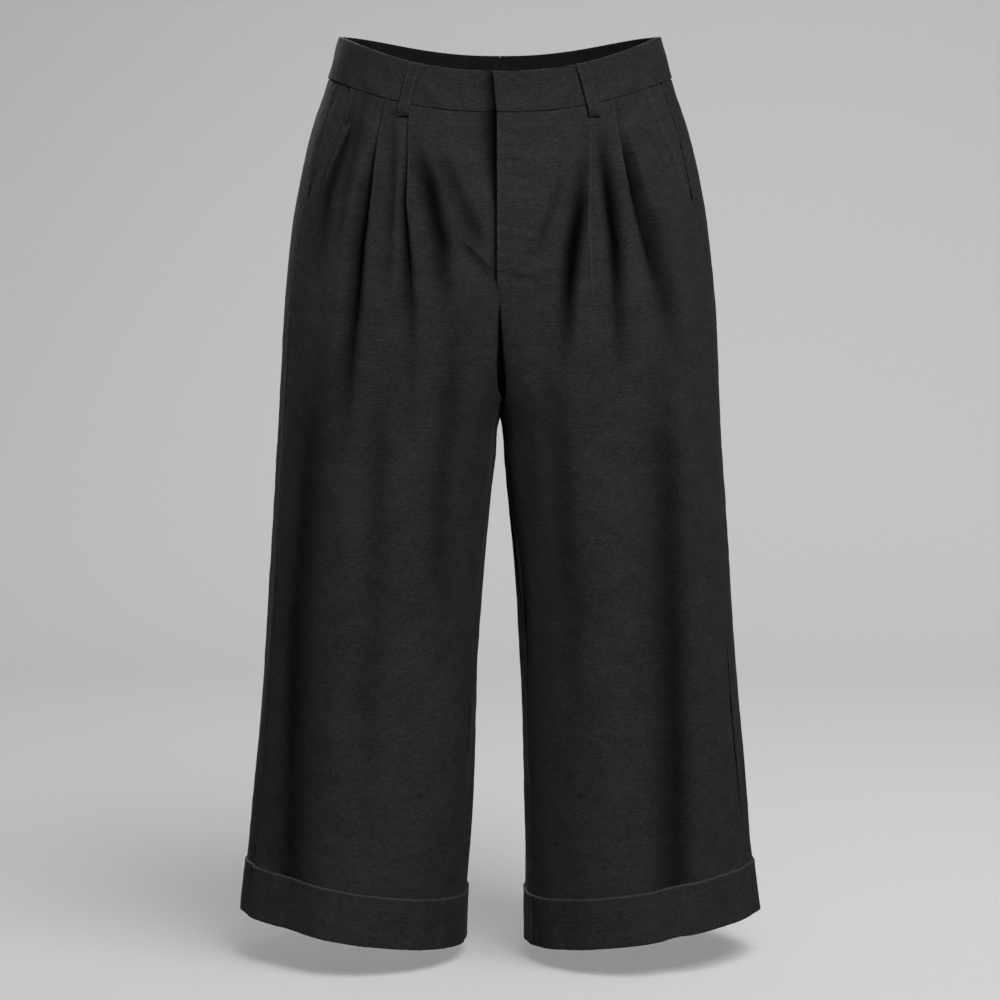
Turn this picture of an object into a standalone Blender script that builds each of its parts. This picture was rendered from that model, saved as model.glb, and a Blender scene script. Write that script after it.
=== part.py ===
"""Wide-leg pleated culottes, filled out as if worn, with an empty waist, seat and legs.

Metres, +Z up, front towards -Y, the wearer's left at +X. The origin is the centre of the waist
opening, half way down the waistband at the side seams.

Each leg is a stack of flat sections. A section is a loop of four superellipse quarters, from the
outer side over the front to the inner side and back over the seat. Above the crotch the loop is cut
off at the centre seam; below it the loop closes at the inseam. Heights in the tables are those at
the outer side: the waist then dips towards the centre, and the hem drops towards the inseam.
"""

import math
from collections import namedtuple

import bmesh
import bpy
import numpy as np
from mathutils import Matrix, Vector

# ---------------------------------------------------------------- driving sizes, in metres
SEAM_GAP = 0.0003
CLOTH = 0.0014
SIDES = {"right": -1, "left": 1}

RIM = 0.0170
BAND_SEAM = -0.0175
BAND_THICKNESS = 0.0030
BAND_PROUD = 0.0006
BAND_CLEARANCE = 0.0008
INNER_TOP = BAND_SEAM - 0.0015

CROTCH = -0.3160
CUFF_TOP = -0.7230
HEM = -0.7710
CUFF_MIDDLE = (CUFF_TOP + HEM) / 2
CUFF_THICKNESS = 0.0016
CUFF_CLEARANCE = 0.0009

FRONT_DIP = 0.0280
BACK_DIP = 0.0160
FRONT_DIP_POWER = 2.6
BACK_DIP_POWER = 4.0
DIP_END = -0.3000
HEM_DROP = 0.0275
HEM_DROP_POWER = 1.5
HEM_DROP_START = -0.4500

SIDE_SEAM_ANGLE = math.radians(22)
INSEAM_ANGLE = math.radians(20)
INSEAM_SHIFT_HEIGHT = 0.080

# One row for each level. half_width is the outer side; inner_right and inner_left are the inner
# side of each leg's loop, and a negative one lies beyond the centre seam, where the loop is cut.
Section = namedtuple(
    "Section",
    "height half_width inner_right inner_left front back inner_power outer_power",
)
SECTIONS = [
    Section(0.0170, 0.1405, -0.1405, -0.1405, 0.0930, 0.0950, 2.3, 2.3),
    Section(-0.0175, 0.1505, -0.1505, -0.1505, 0.0975, 0.1020, 2.3, 2.3),
    Section(-0.0600, 0.1652, -0.1560, -0.1560, 0.1055, 0.1150, 2.3, 2.25),
    Section(-0.1200, 0.1796, -0.1500, -0.1500, 0.1120, 0.1285, 2.4, 2.2),
    Section(-0.1800, 0.1882, -0.1180, -0.1180, 0.1150, 0.1345, 2.5, 2.2),
    Section(-0.2300, 0.1927, -0.0620, -0.0620, 0.1145, 0.1320, 2.7, 2.15),
    Section(-0.2600, 0.1944, -0.0370, -0.0370, 0.1130, 0.1280, 2.9, 2.1),
    Section(-0.2860, 0.1956, -0.0165, -0.0165, 0.1112, 0.1235, 3.0, 2.1),
    Section(-0.3010, 0.1964, -0.0055, -0.0055, 0.1100, 0.1205, 3.0, 2.1),
    Section(-0.3160, 0.1971, 0.0000, 0.0000, 0.1090, 0.1185, 2.9, 2.1),
    Section(-0.3600, 0.2002, 0.0055, 0.0045, 0.1065, 0.1140, 2.8, 2.1),
    Section(-0.4300, 0.2054, 0.0130, 0.0116, 0.1020, 0.1090, 2.5, 1.95),
    Section(-0.5000, 0.2103, 0.0184, 0.0166, 0.0980, 0.1055, 2.35, 1.85),
    Section(-0.5800, 0.2170, 0.0224, 0.0205, 0.0940, 0.1020, 2.25, 1.75),
    Section(-0.6500, 0.2239, 0.0256, 0.0225, 0.0900, 0.0990, 2.15, 1.68),
    Section(-0.7230, 0.2308, 0.0300, 0.0232, 0.0885, 0.0965, 2.05, 1.62),
    Section(-0.7710, 0.2368, 0.0322, 0.0238, 0.0865, 0.0950, 2.0, 1.6),
]

# A front pleat is folded towards the side: the cloth on its inner side lies on top. Its line passes
# through the four x values at these heights; the step is deepest at `full` and gone at `end`.
PLEAT_HEIGHTS = (BAND_SEAM, -0.1000, -0.1900, HEM)
PLEAT_STEP = 0.0030
PLEAT_TOP_SHARE = 0.35
Pleat = namedtuple("Pleat", "side seam_x open_x low_x hem_x depth reach full end")
PLEATS = [
    Pleat("right", 0.0805, 0.0812, 0.0755, 0.0900, 0.0060, 0.020, -0.130, -0.290),
    Pleat("right", 0.0970, 0.1118, 0.1215, 0.1600, 0.0080, 0.026, -0.120, -0.300),
    Pleat("left", 0.0780, 0.0786, 0.0785, 0.0900, 0.0015, 0.014, -0.120, -0.220),
    Pleat("left", 0.0965, 0.1080, 0.1260, 0.1600, 0.0080, 0.026, -0.110, -0.290),
]

# A soft trough runs between two points of a panel. It is deepest half way, or, where it reaches the
# hem, from TROUGH_ONSET of its length on.
TROUGH_ONSET = 0.625
Trough = namedtuple("Trough", "side face top_x end_x top end depth width")
TROUGHS = [
    Trough("right", "front", 0.050, 0.052, -0.060, -0.260, 0.0030, 0.014),
    Trough("right", "front", 0.172, 0.188, -0.300, -0.771, 0.0030, 0.020),
    Trough("left", "front", 0.070, 0.056, -0.070, -0.270, 0.0040, 0.012),
    Trough("left", "front", 0.091, 0.106, -0.060, -0.300, 0.0045, 0.012),
    Trough("left", "front", 0.150, 0.165, -0.330, -0.771, 0.0025, 0.022),
    Trough("right", "back", 0.070, 0.090, -0.260, -0.771, 0.0045, 0.022),
    Trough("right", "back", 0.125, 0.160, -0.340, -0.771, 0.0040, 0.020),
    Trough("left", "back", 0.060, 0.078, -0.300, -0.771, 0.0040, 0.024),
    Trough("left", "back", 0.120, 0.150, -0.270, -0.700, 0.0045, 0.020),
]

POCKET_TOP_X = 0.1290
POCKET_END = -0.1270
POCKET_BOW = 0.0060
POCKET_UNDERLAP = 0.0120
POCKET_PANEL_END = -0.1400
POCKET_PANEL_DEPTH = CLOTH + 0.0008
POCKET_PANEL_CLOTH = 0.0012

OVERLAP_TOP_X = -0.0065
OVERLAP_SEAM_X = -0.0030
UNDERLAP_LENGTH = 0.0350
UNDERLAP_DEPTH = BAND_THICKNESS + 0.0023
UNDERLAP_RAMP = (0.0180, 0.0040)

FLY_X = -0.0030
FLY_END = -0.1640
LAP_FADE_START = FLY_END - 0.0050
LAP_FADE_HEIGHT = 0.0300
FLY_WIDTH = 0.0330
FLY_CURVE_HEIGHT = 0.0260
FLY_CURVE_ANGLES = (25, 45, 65, 80)
FLY_LEAST_WIDTH = 0.2 * FLY_WIDTH
FACING_DEPTH = CLOTH + 0.0008
FACING_CLOTH = 0.0010
ZIP_DEPTH = 0.0053
ZIP_CLOTH = 0.0008
ZIP_X = (-0.0100, 0.0140)
ZIP_END = -0.1520
SHIELD_DEPTH = 0.0064
SHIELD_CLOTH = 0.0012
SHIELD_TOP = BAND_SEAM - 0.0011
SHIELD_X = (-0.0120, 0.0340)

# Flat metal pieces of the hidden closure: size across, thickness and height, and where they sit.
Plate = namedtuple("Plate", "name across thick tall height x depth")
PLATES = [
    Plate("zip_slider", 0.0070, 0.0012, 0.0100, -0.0260, 0.0020, 0.0036),
    Plate("waist_hook", 0.0100, 0.0007, 0.0120, 0.0000, 0.0140, 0.0028),
    Plate("waist_bar", 0.0110, 0.0006, 0.0060, 0.0000, 0.0140, 0.0038),
]

LOOP_WIDTH = 0.0110
LOOP_CLOTH = 0.0013
LOOP_END = -0.0315
Loop = namedtuple("Loop", "name side face top_x end_x")
LOOPS = [
    Loop("belt_loop_front_right", "right", "front", 0.0765, 0.0840),
    Loop("belt_loop_front_left", "left", "front", 0.0722, 0.0815),
    Loop("belt_loop_back_right", "right", "back", 0.0800, 0.0860),
    Loop("belt_loop_back_left", "left", "back", 0.0800, 0.0860),
    Loop("belt_loop_back_centre", "left", "back", 0.0000, 0.0000),
]
# Height and stand-off of the underside of a belt loop, from the rim down.
LoopPoint = namedtuple("LoopPoint", "height stand_off")
LOOP_PATH = [
    LoopPoint(RIM - 0.0004, 0.0005),
    LoopPoint(RIM - 0.0045, 0.0009),
    LoopPoint(RIM - 0.0100, 0.0028),
    LoopPoint(-0.0020, 0.0034),
    LoopPoint(-0.0150, 0.0034),
    LoopPoint(-0.0240, 0.0030),
    LoopPoint(-0.0280, 0.0012),
    LoopPoint(LOOP_END, 0.0005),
]

CHARCOAL = (0.0145, 0.0145, 0.0150, 1.0)
INSIDE_CHARCOAL = (0.0110, 0.0110, 0.0115, 1.0)
STEEL = (0.35, 0.35, 0.36, 1.0)

ARC_STEPS = 360
TANGENT_STEP = 0.0010


# ---------------------------------------------------------------- section curves
def smooth_through(places, values, place):
    """A smooth curve through the given values, read at one place; the ends run on level."""
    places = np.asarray(places, float)
    values = np.asarray(values, float)
    if places[0] > places[-1]:
        places = places[::-1]
        values = values[::-1]
    slopes = np.gradient(values, places)
    i = int(np.clip(np.searchsorted(places, place) - 1, 0, len(places) - 2))
    width = places[i + 1] - places[i]
    t = float(np.clip((place - places[i]) / width, 0.0, 1.0))
    start = (1 + 2 * t) * (1 - t) ** 2 * values[i] + t * (1 - t) ** 2 * width * slopes[i]
    end = t * t * (3 - 2 * t) * values[i + 1] + t * t * (t - 1) * width * slopes[i + 1]
    return start + end


def ease(t):
    """0 to 1 with a level start and end."""
    t = np.clip(t, 0.0, 1.0)
    return t * t * (3 - 2 * t)


def section_value(name, height):
    heights = [row.height for row in SECTIONS]
    return smooth_through(heights, [getattr(row, name) for row in SECTIONS], height)


def signed_power(value, power):
    return np.sign(value) * np.abs(value) ** power


def loop_point(side, height, angle):
    """Points of one leg's loop: angle 0 is the outer side, a quarter turn the front."""
    outer = section_value("half_width", height)
    inner = section_value("inner_" + side, height)
    middle = (outer + inner) / 2
    reach = (outer - inner) / 2
    powers = (section_value("outer_power", height), section_value("inner_power", height))
    power = np.where(np.cos(angle) > 0, *powers)
    front = section_value("front", height)
    depth = np.where(np.sin(angle) > 0, front, section_value("back", height))
    x = middle + reach * signed_power(np.cos(angle), 2 / power)
    y = -depth * signed_power(np.sin(angle), 2 / power)
    return x, y


def centre_line(side, height):
    """Where a front ends at the centre: the left front laps over to FLY_X, down to the fly's end."""
    lap = FLY_X * (1 - ease((LAP_FADE_START - height) / LAP_FADE_HEIGHT))
    return SIDES[side] * lap


def cut_angle(side, height, face, limit):
    """The angle at which the loop crosses x = limit on one face, or pi where it doesn't."""
    sign = 1 if face == "front" else -1
    angles = np.linspace(0, math.pi, 4 * ARC_STEPS)
    x, _ = loop_point(side, height, sign * angles)
    if x[-1] >= limit:
        return sign * math.pi
    return sign * float(np.interp(-limit, -x, angles))


def inseam_angle(height):
    """The inseam leaves the crotch at the loop's inner end and moves forward below it."""
    return math.pi - INSEAM_ANGLE * float(ease((CROTCH - height) / INSEAM_SHIFT_HEIGHT))


def face_angles(side, height, face):
    """The first and last angle of a front or a back: from the centre or inseam to the side seam."""
    limit = SEAM_GAP / 2
    inseam = inseam_angle(height)
    if face == "front":
        cut = cut_angle(side, height, "front", limit + centre_line(side, height))
        return min(cut, inseam), SIDE_SEAM_ANGLE
    cut = cut_angle(side, height, "back", limit)
    first = inseam - 2 * math.pi if cut == -math.pi else cut
    return first, SIDE_SEAM_ANGLE


class Arc:
    """A stretch of one leg's loop, which can be read by its length from the start."""

    def __init__(self, side, height, first, last):
        angles = np.linspace(first, last, ARC_STEPS)
        self.x, self.y = loop_point(side, height, angles)
        steps = np.hypot(np.diff(self.x), np.diff(self.y))
        self.along = np.concatenate([[0.0], np.cumsum(steps)])
        self.length = self.along[-1]
        turn = 1 if last < first else -1
        tangent_x = np.gradient(self.x, self.along)
        tangent_y = np.gradient(self.y, self.along)
        size = np.hypot(tangent_x, tangent_y)
        self.out_x = turn * tangent_y / size
        self.out_y = -turn * tangent_x / size

    def at_x(self, x):
        """The length at which the arc, past its innermost point, reaches x."""
        return float(np.interp(x, np.maximum.accumulate(self.x), self.along))

    def read(self, along, out):
        x = np.interp(along, self.along, self.x)
        y = np.interp(along, self.along, self.y)
        out_x = np.interp(along, self.along, self.out_x)
        out_y = np.interp(along, self.along, self.out_y)
        return x + out * out_x, y + out * out_y


# ---------------------------------------------------------------- dips, pleats and folds
def dropped(side, height, x, y):
    """The true height of a point: the waist dips to the centre, the hem drops to the inseam."""
    front = section_value("front", height)
    back = section_value("back", height)
    front_dip = FRONT_DIP * np.clip(-y / front, 0, 1) ** FRONT_DIP_POWER
    back_dip = BACK_DIP * np.clip(y / back, 0, 1) ** BACK_DIP_POWER
    dip = (front_dip + back_dip) * (1 - ease((BAND_SEAM - height) / (BAND_SEAM - DIP_END)))
    outer = section_value("half_width", height)
    inner = section_value("inner_" + side, height)
    inwards = np.clip((outer - x) / (outer - inner), 0, 1)
    drop = HEM_DROP * ease((HEM_DROP_START - height) / (HEM_DROP_START - CUFF_TOP))
    return height - dip - drop * inwards**HEM_DROP_POWER


def pleat_line(pleat, height):
    """x of a pleat's line, which runs on down the leg to the hem."""
    values = (pleat.seam_x, pleat.open_x, pleat.low_x, pleat.hem_x)
    return float(np.interp(-height, [-level for level in PLEAT_HEIGHTS], values))


def pleat_strength(pleat, height):
    """1 where the pleat is deepest, PLEAT_TOP_SHARE at the waistband, and 0 past its end."""
    if height > pleat.full:
        opened = ease((BAND_SEAM - height) / (BAND_SEAM - pleat.full))
        return PLEAT_TOP_SHARE + (1 - PLEAT_TOP_SHARE) * opened
    return 1 - ease((pleat.full - height) / (pleat.full - pleat.end))


def pleat_relief(pleat, arc, height, along):
    """Out of the panel: a step down at the line that rises again towards the side."""
    past = along - arc.at_x(pleat_line(pleat, height))
    step = ease(past / PLEAT_STEP + 0.5)
    rise = 1 - ease(past / pleat.reach)
    return -pleat.depth * pleat_strength(pleat, height) * step * rise


def trough_relief(trough, arc, height, along):
    """Out of the panel: a soft hollow that fades towards both its ends."""
    t = float(np.clip((trough.top - height) / (trough.top - trough.end), 0.0, 1.0))
    strength = math.sin(math.pi * t) if trough.end > HEM else ease(t / TROUGH_ONSET)
    line = trough.top_x + (trough.end_x - trough.top_x) * t
    return -trough.depth * strength * np.exp(-(((along - arc.at_x(line)) / trough.width) ** 2))


def relief(side, face, arc, height, along):
    """All the pleats and folds of one panel at one height."""
    total = np.zeros(len(along))
    for pleat in PLEATS:
        if pleat.side == side and face == "front":
            total += pleat_relief(pleat, arc, height, along)
    for trough in TROUGHS:
        if trough.side == side and trough.face == face:
            total += trough_relief(trough, arc, height, along)
    return total


def panel_arc(side, face, height):
    return Arc(side, height, *face_angles(side, height, face))


def world_points(side, height, arc, along, out):
    """World points at lengths along an arc, `out` from it and level with the arc itself."""
    z = dropped(side, height, *arc.read(along, 0.0))
    x, y = arc.read(along, out)
    return np.column_stack([SIDES[side] * x, y, z])


def panel_points(side, face, height, along, out=0.0, creased=True):
    """World points across a front or back at one height, `out` from its outer face."""
    arc = panel_arc(side, face, height)
    along = np.asarray(along, float)
    lift = relief(side, face, arc, height, along) if creased else 0.0
    return world_points(side, height, arc, along, lift + out)


# ---------------------------------------------------------------- meshes
def material(name, colour, roughness=0.9, metallic=0.0):
    made = bpy.data.materials.new(name)
    made.use_nodes = True
    shader = made.node_tree.nodes["Principled BSDF"]
    shader.inputs["Base Color"].default_value = colour
    shader.inputs["Roughness"].default_value = roughness
    shader.inputs["Metallic"].default_value = metallic
    return made


def add_object(name, mesh_data, collection, surface):
    mesh = bpy.data.meshes.new(name)
    mesh_data.to_mesh(mesh)
    mesh_data.free()
    mesh.materials.append(surface)
    mesh.shade_smooth()
    made = bpy.data.objects.new(name, mesh)
    collection.objects.link(made)
    return made


def sheet(name, rows, collection, surface, thickness, outward, closed=False, grow=-1.0):
    """A cloth wall through rows of points; `outward` says whether rows by columns face out."""
    rows = np.asarray(rows)
    row_count, column_count = rows.shape[:2]
    grid = bmesh.new()
    bmesh.ops.create_grid(grid, x_segments=column_count - 1, y_segments=row_count - 1, size=1.0)
    for vertex in grid.verts:
        column = round((vertex.co.x + 1) / 2 * (column_count - 1))
        row = round((1 - vertex.co.y) / 2 * (row_count - 1))
        vertex.co = rows[row, column]
    if closed:
        bmesh.ops.remove_doubles(grid, verts=grid.verts, dist=1e-6)
    if not outward:
        bmesh.ops.reverse_faces(grid, faces=grid.faces)
    made = add_object(name, grid, collection, surface)
    wall = made.modifiers.new("wall", "SOLIDIFY")
    wall.thickness = thickness
    wall.offset = grow
    return made


def spread(knots, counts):
    """Places from knot to knot, each span cut into its count of equal parts."""
    places = [knots[0]]
    for start, end, count in zip(knots, knots[1:], counts):
        places.extend(start + (end - start) * (k + 1) / count for k in range(count))
    return np.array(places)


# ---------------------------------------------------------------- fronts, backs and cuffs
EDGE_STRIP = 0.0030
THIGH_LINE_X = 0.0300
THIGH_LINE_HEM_X = 0.0600
# Columns between the lines of a panel: edge strip, inner thigh, then round each pleat to the side.
FRONT_COUNTS = (1, 4, 2, 1, 3, 1, 5, 1)
BACK_COUNTS = (1, 4, 9, 1)
# Rows of a panel: above the crotch, at these rises from it, and below it.
UPPER_ROWS = 10
CROTCH_RISES = (0.044, 0.026, 0.013, 0.005, 0.001, -0.003, -0.012)
LOWER_ROWS = 6
CLOSE_ROWS_ABOVE = 0.070
CLOSE_ROWS_BELOW = 0.035
POCKET_PANEL_GRID = (6, 5)
POCKET_PANEL_SLANT_END = POCKET_END + 0.012


def pocket_edge(arc, height):
    """Length along the front at which it ends: the slant of the pocket, then the side seam."""
    t = (BAND_SEAM - height) / (BAND_SEAM - POCKET_END)
    if t >= 1:
        return arc.length - SEAM_GAP / 2
    start = arc.at_x(POCKET_TOP_X)
    end = arc.length - SEAM_GAP / 2
    return start + (end - start) * t + POCKET_BOW * math.sin(math.pi * t)


def thigh_line(arc, height):
    """Length at the line between the inner thigh, which starts at the crotch, and the rest."""
    t = ease((CROTCH - height) / (CROTCH - HEM))
    return arc.at_x(THIGH_LINE_X + (THIGH_LINE_HEM_X - THIGH_LINE_X) * t)


def front_columns(side, height):
    arc = panel_arc(side, "front", height)
    inner = SEAM_GAP / 2
    lines = [arc.at_x(pleat_line(pleat, height)) for pleat in PLEATS if pleat.side == side]
    half = PLEAT_STEP / 2
    edge = pocket_edge(arc, height)
    knots = [inner, inner + EDGE_STRIP, thigh_line(arc, height)]
    for line in lines:
        knots.extend([line - half, line + half])
    knots.extend([edge - EDGE_STRIP, edge])
    return spread(knots, FRONT_COUNTS)


def back_columns(side, height):
    arc = panel_arc(side, "back", height)
    inner = SEAM_GAP / 2
    edge = arc.length - SEAM_GAP / 2
    thigh = thigh_line(arc, height)
    return spread([inner, inner + EDGE_STRIP, thigh, edge - EDGE_STRIP, edge], BACK_COUNTS)


def panel_heights(top):
    """Levels from the top edge to the hem, closer together round the crotch."""
    upper = list(np.linspace(top, CROTCH + CLOSE_ROWS_ABOVE, UPPER_ROWS))
    near_crotch = [CROTCH + rise for rise in CROTCH_RISES]
    lower = list(np.linspace(CROTCH - CLOSE_ROWS_BELOW, CUFF_TOP, LOWER_ROWS))
    return upper + near_crotch + lower + [CUFF_MIDDLE, HEM]


def make_fronts_and_backs(collection, surface):
    top = BAND_SEAM - BAND_CLEARANCE
    for side, sign in SIDES.items():
        heights = panel_heights(top)
        front = [panel_points(side, "front", h, front_columns(side, h)) for h in heights]
        back = [panel_points(side, "back", h, back_columns(side, h)) for h in heights]
        sheet("front_" + side, front, collection, surface, CLOTH, outward=sign > 0)
        sheet("back_" + side, back, collection, surface, CLOTH, outward=sign < 0)


def make_cuffs(collection, surface):
    for side, sign in SIDES.items():
        rows = []
        for height in (CUFF_TOP, CUFF_MIDDLE, HEM):
            front = panel_points(side, "front", height, front_columns(side, height), CUFF_CLEARANCE)
            back = panel_points(side, "back", height, back_columns(side, height), CUFF_CLEARANCE)
            rows.append(np.vstack([front, back[-2:0:-1], front[:1]]))
        name = "cuff_" + side
        sheet(name, rows, collection, surface, CUFF_THICKNESS, sign > 0, closed=True, grow=1.0)


def make_pocket_panels(collection, surface):
    """The cloth that shows beside each slant pocket, behind the front's edge."""
    for side, sign in SIDES.items():
        rows = []
        row_count, column_count = POCKET_PANEL_GRID
        for height in np.linspace(INNER_TOP, POCKET_PANEL_END, row_count):
            arc = panel_arc(side, "front", height)
            edge = pocket_edge(arc, max(height, POCKET_PANEL_SLANT_END))
            along = np.linspace(edge - POCKET_UNDERLAP, arc.length - SEAM_GAP / 2, column_count)
            rows.append(panel_points(side, "front", height, along, -POCKET_PANEL_DEPTH, False))
        name = "pocket_panel_" + side
        sheet(name, rows, collection, surface, POCKET_PANEL_CLOTH, outward=sign > 0)


# ---------------------------------------------------------------- waistband, closure and fly
# Columns of the bands as shares of their length: the right one's are closer where it goes under.
BAND_SHARES = {
    "left": np.linspace(0.0, 1.0, 25),
    "right": np.concatenate([np.linspace(0.0, 0.2, 11), np.linspace(0.225, 1.0, 20)]),
}
BAND_ROWS = (0.0, 0.5, 1.0)
FLY_ROWS = 8
FACING_STRAIGHT_ROWS = 6
FACING_COLUMNS = 5
SHIELD_COLUMNS = 6
TAPE_COLUMNS = 4


def band_points(side, height, front_limit, along_share, out):
    """Points of the band from its front end round the side to the centre back."""
    first = cut_angle(side, height, "front", front_limit)
    last = cut_angle(side, height, "back", SEAM_GAP / 2)
    arc = Arc(side, height, first, last)
    along = arc.length * along_share
    x, _ = arc.read(along, 0.0)
    return world_points(side, height, arc, along, out(x))


def over_band_depth(x):
    return np.full(len(x), BAND_PROUD)


def under_band_depth(x):
    """How far out the right band lies: it goes in behind the left one near the centre."""
    start, end = UNDERLAP_RAMP
    before = np.arange(len(x)) < len(x) / 2
    return BAND_PROUD - UNDERLAP_DEPTH * ease((start - x) / (start - end)) * before


def make_waistband(collection, surface):
    left = []
    right = []
    for t in BAND_ROWS:
        height = RIM + (BAND_SEAM - RIM) * t
        end_x = OVERLAP_TOP_X + (OVERLAP_SEAM_X - OVERLAP_TOP_X) * t
        left.append(band_points("left", height, end_x, BAND_SHARES["left"], over_band_depth))
        under = band_points("right", height, -UNDERLAP_LENGTH, BAND_SHARES["right"], under_band_depth)
        right.append(under)
    sheet("waistband_left", left, collection, surface, BAND_THICKNESS, outward=True)
    sheet("waistband_right", right, collection, surface, BAND_THICKNESS, outward=False)


def front_strip(heights, inner_x, outer_edge, columns, out):
    """Rows across the left front from an x, which may lie past the centre line, to each row's edge."""
    rows = []
    for height, outer_x in zip(heights, outer_edge):
        first = cut_angle("left", height, "front", inner_x)
        arc = Arc("left", height, first, SIDE_SEAM_ANGLE)
        along = np.linspace(0.0, arc.at_x(outer_x), columns)
        rows.append(world_points("left", height, arc, along, out))
    return rows


def fly_edge(height):
    """x of the fly's curved outer edge: upright, then a quarter ellipse down to the centre."""
    below = max((FLY_END + FLY_CURVE_HEIGHT - height) / FLY_CURVE_HEIGHT, 0.0)
    return max(FLY_WIDTH * math.sqrt(1 - below**2), FLY_LEAST_WIDTH)


def make_fly(collection, surface):
    straight = list(np.linspace(INNER_TOP, FLY_END + FLY_CURVE_HEIGHT, FACING_STRAIGHT_ROWS))
    drops = [1 - math.sin(math.radians(angle)) for angle in FLY_CURVE_ANGLES]
    levels = straight + [FLY_END + FLY_CURVE_HEIGHT * drop for drop in drops]
    edge = [fly_edge(height) for height in levels]
    rows = front_strip(levels, FLY_X + SEAM_GAP, edge, FACING_COLUMNS, -FACING_DEPTH)
    sheet("fly_facing", rows, collection, surface, FACING_CLOTH, outward=True)

    inner_x, outer_x = SHIELD_X
    levels = np.linspace(SHIELD_TOP, FLY_END, FLY_ROWS)
    rows = front_strip(levels, inner_x, [outer_x] * FLY_ROWS, SHIELD_COLUMNS, -SHIELD_DEPTH)
    sheet("fly_shield", rows, collection, surface, SHIELD_CLOTH, outward=True)

    inner_x, outer_x = ZIP_X
    levels = np.linspace(INNER_TOP, ZIP_END, FLY_ROWS)
    rows = front_strip(levels, inner_x, [outer_x] * FLY_ROWS, TAPE_COLUMNS, -ZIP_DEPTH)
    sheet("zip_tape", rows, collection, surface, ZIP_CLOTH, outward=True)


def make_closure(collection, surface):
    """Flat plates, each facing the front at its place, with its outer face at its depth."""
    for item in PLATES:
        first = cut_angle("left", item.height, "front", SHIELD_X[0])
        arc = Arc("left", item.height, first, SIDE_SEAM_ANGLE)
        along = arc.at_x(item.x)
        depth = -item.depth - item.thick / 2
        middle, ahead = (
            Vector(world_points("left", item.height, arc, place, depth)[0])
            for place in (along, along + TANGENT_STEP)
        )
        height_above = item.height + TANGENT_STEP
        above_arc = Arc("left", height_above, first, SIDE_SEAM_ANGLE)
        above = Vector(world_points("left", height_above, above_arc, along, depth)[0])
        across = (ahead - middle).normalized()
        inward = (above - middle).cross(across).normalized()
        upward = across.cross(inward)
        cube = bmesh.new()
        bmesh.ops.create_cube(cube, size=1.0)
        bmesh.ops.scale(cube, vec=(item.across, item.thick, item.tall), verts=cube.verts)
        made = add_object(item.name, cube, collection, surface)
        made.location = middle
        made.rotation_euler = Matrix((across, inward, upward)).transposed().to_euler()


# ---------------------------------------------------------------- belt loops
def make_belt_loops(collection, surface):
    for loop in LOOPS:
        sign = SIDES[loop.side]
        rows = []
        for point in LOOP_PATH:
            t = (RIM - point.height) / (RIM - LOOP_END)
            x = loop.top_x + (loop.end_x - loop.top_x) * t
            arc = panel_arc(loop.side, loop.face, point.height)
            along = arc.at_x(max(x, SEAM_GAP / 2))
            middle = world_points(loop.side, point.height, arc, along, BAND_PROUD + point.stand_off)
            ahead = world_points(loop.side, point.height, arc, along + TANGENT_STEP, BAND_PROUD)
            behind = world_points(loop.side, point.height, arc, along, BAND_PROUD)
            across = (ahead - behind)[0]
            across[2] = 0.0
            across *= LOOP_WIDTH / 2 / np.linalg.norm(across)
            if x <= 0:
                middle[0, 0] = 0.0
            rows.append([middle[0] - across, middle[0] + across])
        outward = (sign > 0) == (loop.face == "front")
        sheet(loop.name, rows, collection, surface, LOOP_CLOTH, outward, grow=1.0)


# ---------------------------------------------------------------- the garment
def main():
    for obj in list(bpy.data.objects):
        bpy.data.objects.remove(obj, do_unlink=True)
    collection = bpy.data.collections.new("culottes")
    bpy.context.scene.collection.children.link(collection)
    cloth = material("charcoal_cloth", CHARCOAL)
    inside = material("inside_cloth", INSIDE_CHARCOAL)
    metal = material("steel", STEEL, roughness=0.35, metallic=1.0)

    make_fronts_and_backs(collection, cloth)
    make_cuffs(collection, cloth)
    make_pocket_panels(collection, cloth)
    make_waistband(collection, cloth)
    make_fly(collection, inside)
    make_closure(collection, metal)
    make_belt_loops(collection, cloth)


main()
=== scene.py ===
"""Looks of the wide-leg pleated culottes: cloth shells, stitches, materials, light and camera.

Metres, +Z up, front towards -Y, the wearer's left at +X, the origin in the middle of the waist
opening. The sections, dips and seam lines are those of the CAD model, so that every piece lies on its
own solid. "flat x" below is a length across a panel, measured along the cloth and equal to x at the
line GRAIN_X; "height" is the height at the outer side, before the waist dips and the hem drops.
"""

import math
from collections import namedtuple

import bmesh
import bpy
import numpy as np
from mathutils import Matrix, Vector


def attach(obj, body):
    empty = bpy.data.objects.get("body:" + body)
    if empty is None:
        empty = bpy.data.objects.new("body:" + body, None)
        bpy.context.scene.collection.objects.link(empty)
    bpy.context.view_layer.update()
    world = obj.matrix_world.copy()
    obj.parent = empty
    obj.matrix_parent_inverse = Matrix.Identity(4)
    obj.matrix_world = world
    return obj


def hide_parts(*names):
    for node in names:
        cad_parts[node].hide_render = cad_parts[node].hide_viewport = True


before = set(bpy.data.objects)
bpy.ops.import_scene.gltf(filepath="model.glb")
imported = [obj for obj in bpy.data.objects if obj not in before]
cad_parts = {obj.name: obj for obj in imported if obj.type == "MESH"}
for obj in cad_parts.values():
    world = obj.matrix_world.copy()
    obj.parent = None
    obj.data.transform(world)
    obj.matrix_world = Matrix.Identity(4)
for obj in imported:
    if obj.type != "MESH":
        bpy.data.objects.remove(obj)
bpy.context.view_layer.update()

GARMENT = bpy.data.collections.new("garment")
bpy.context.scene.collection.children.link(GARMENT)

MM = 0.001
SIDES = {"right": -1, "left": 1}

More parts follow.
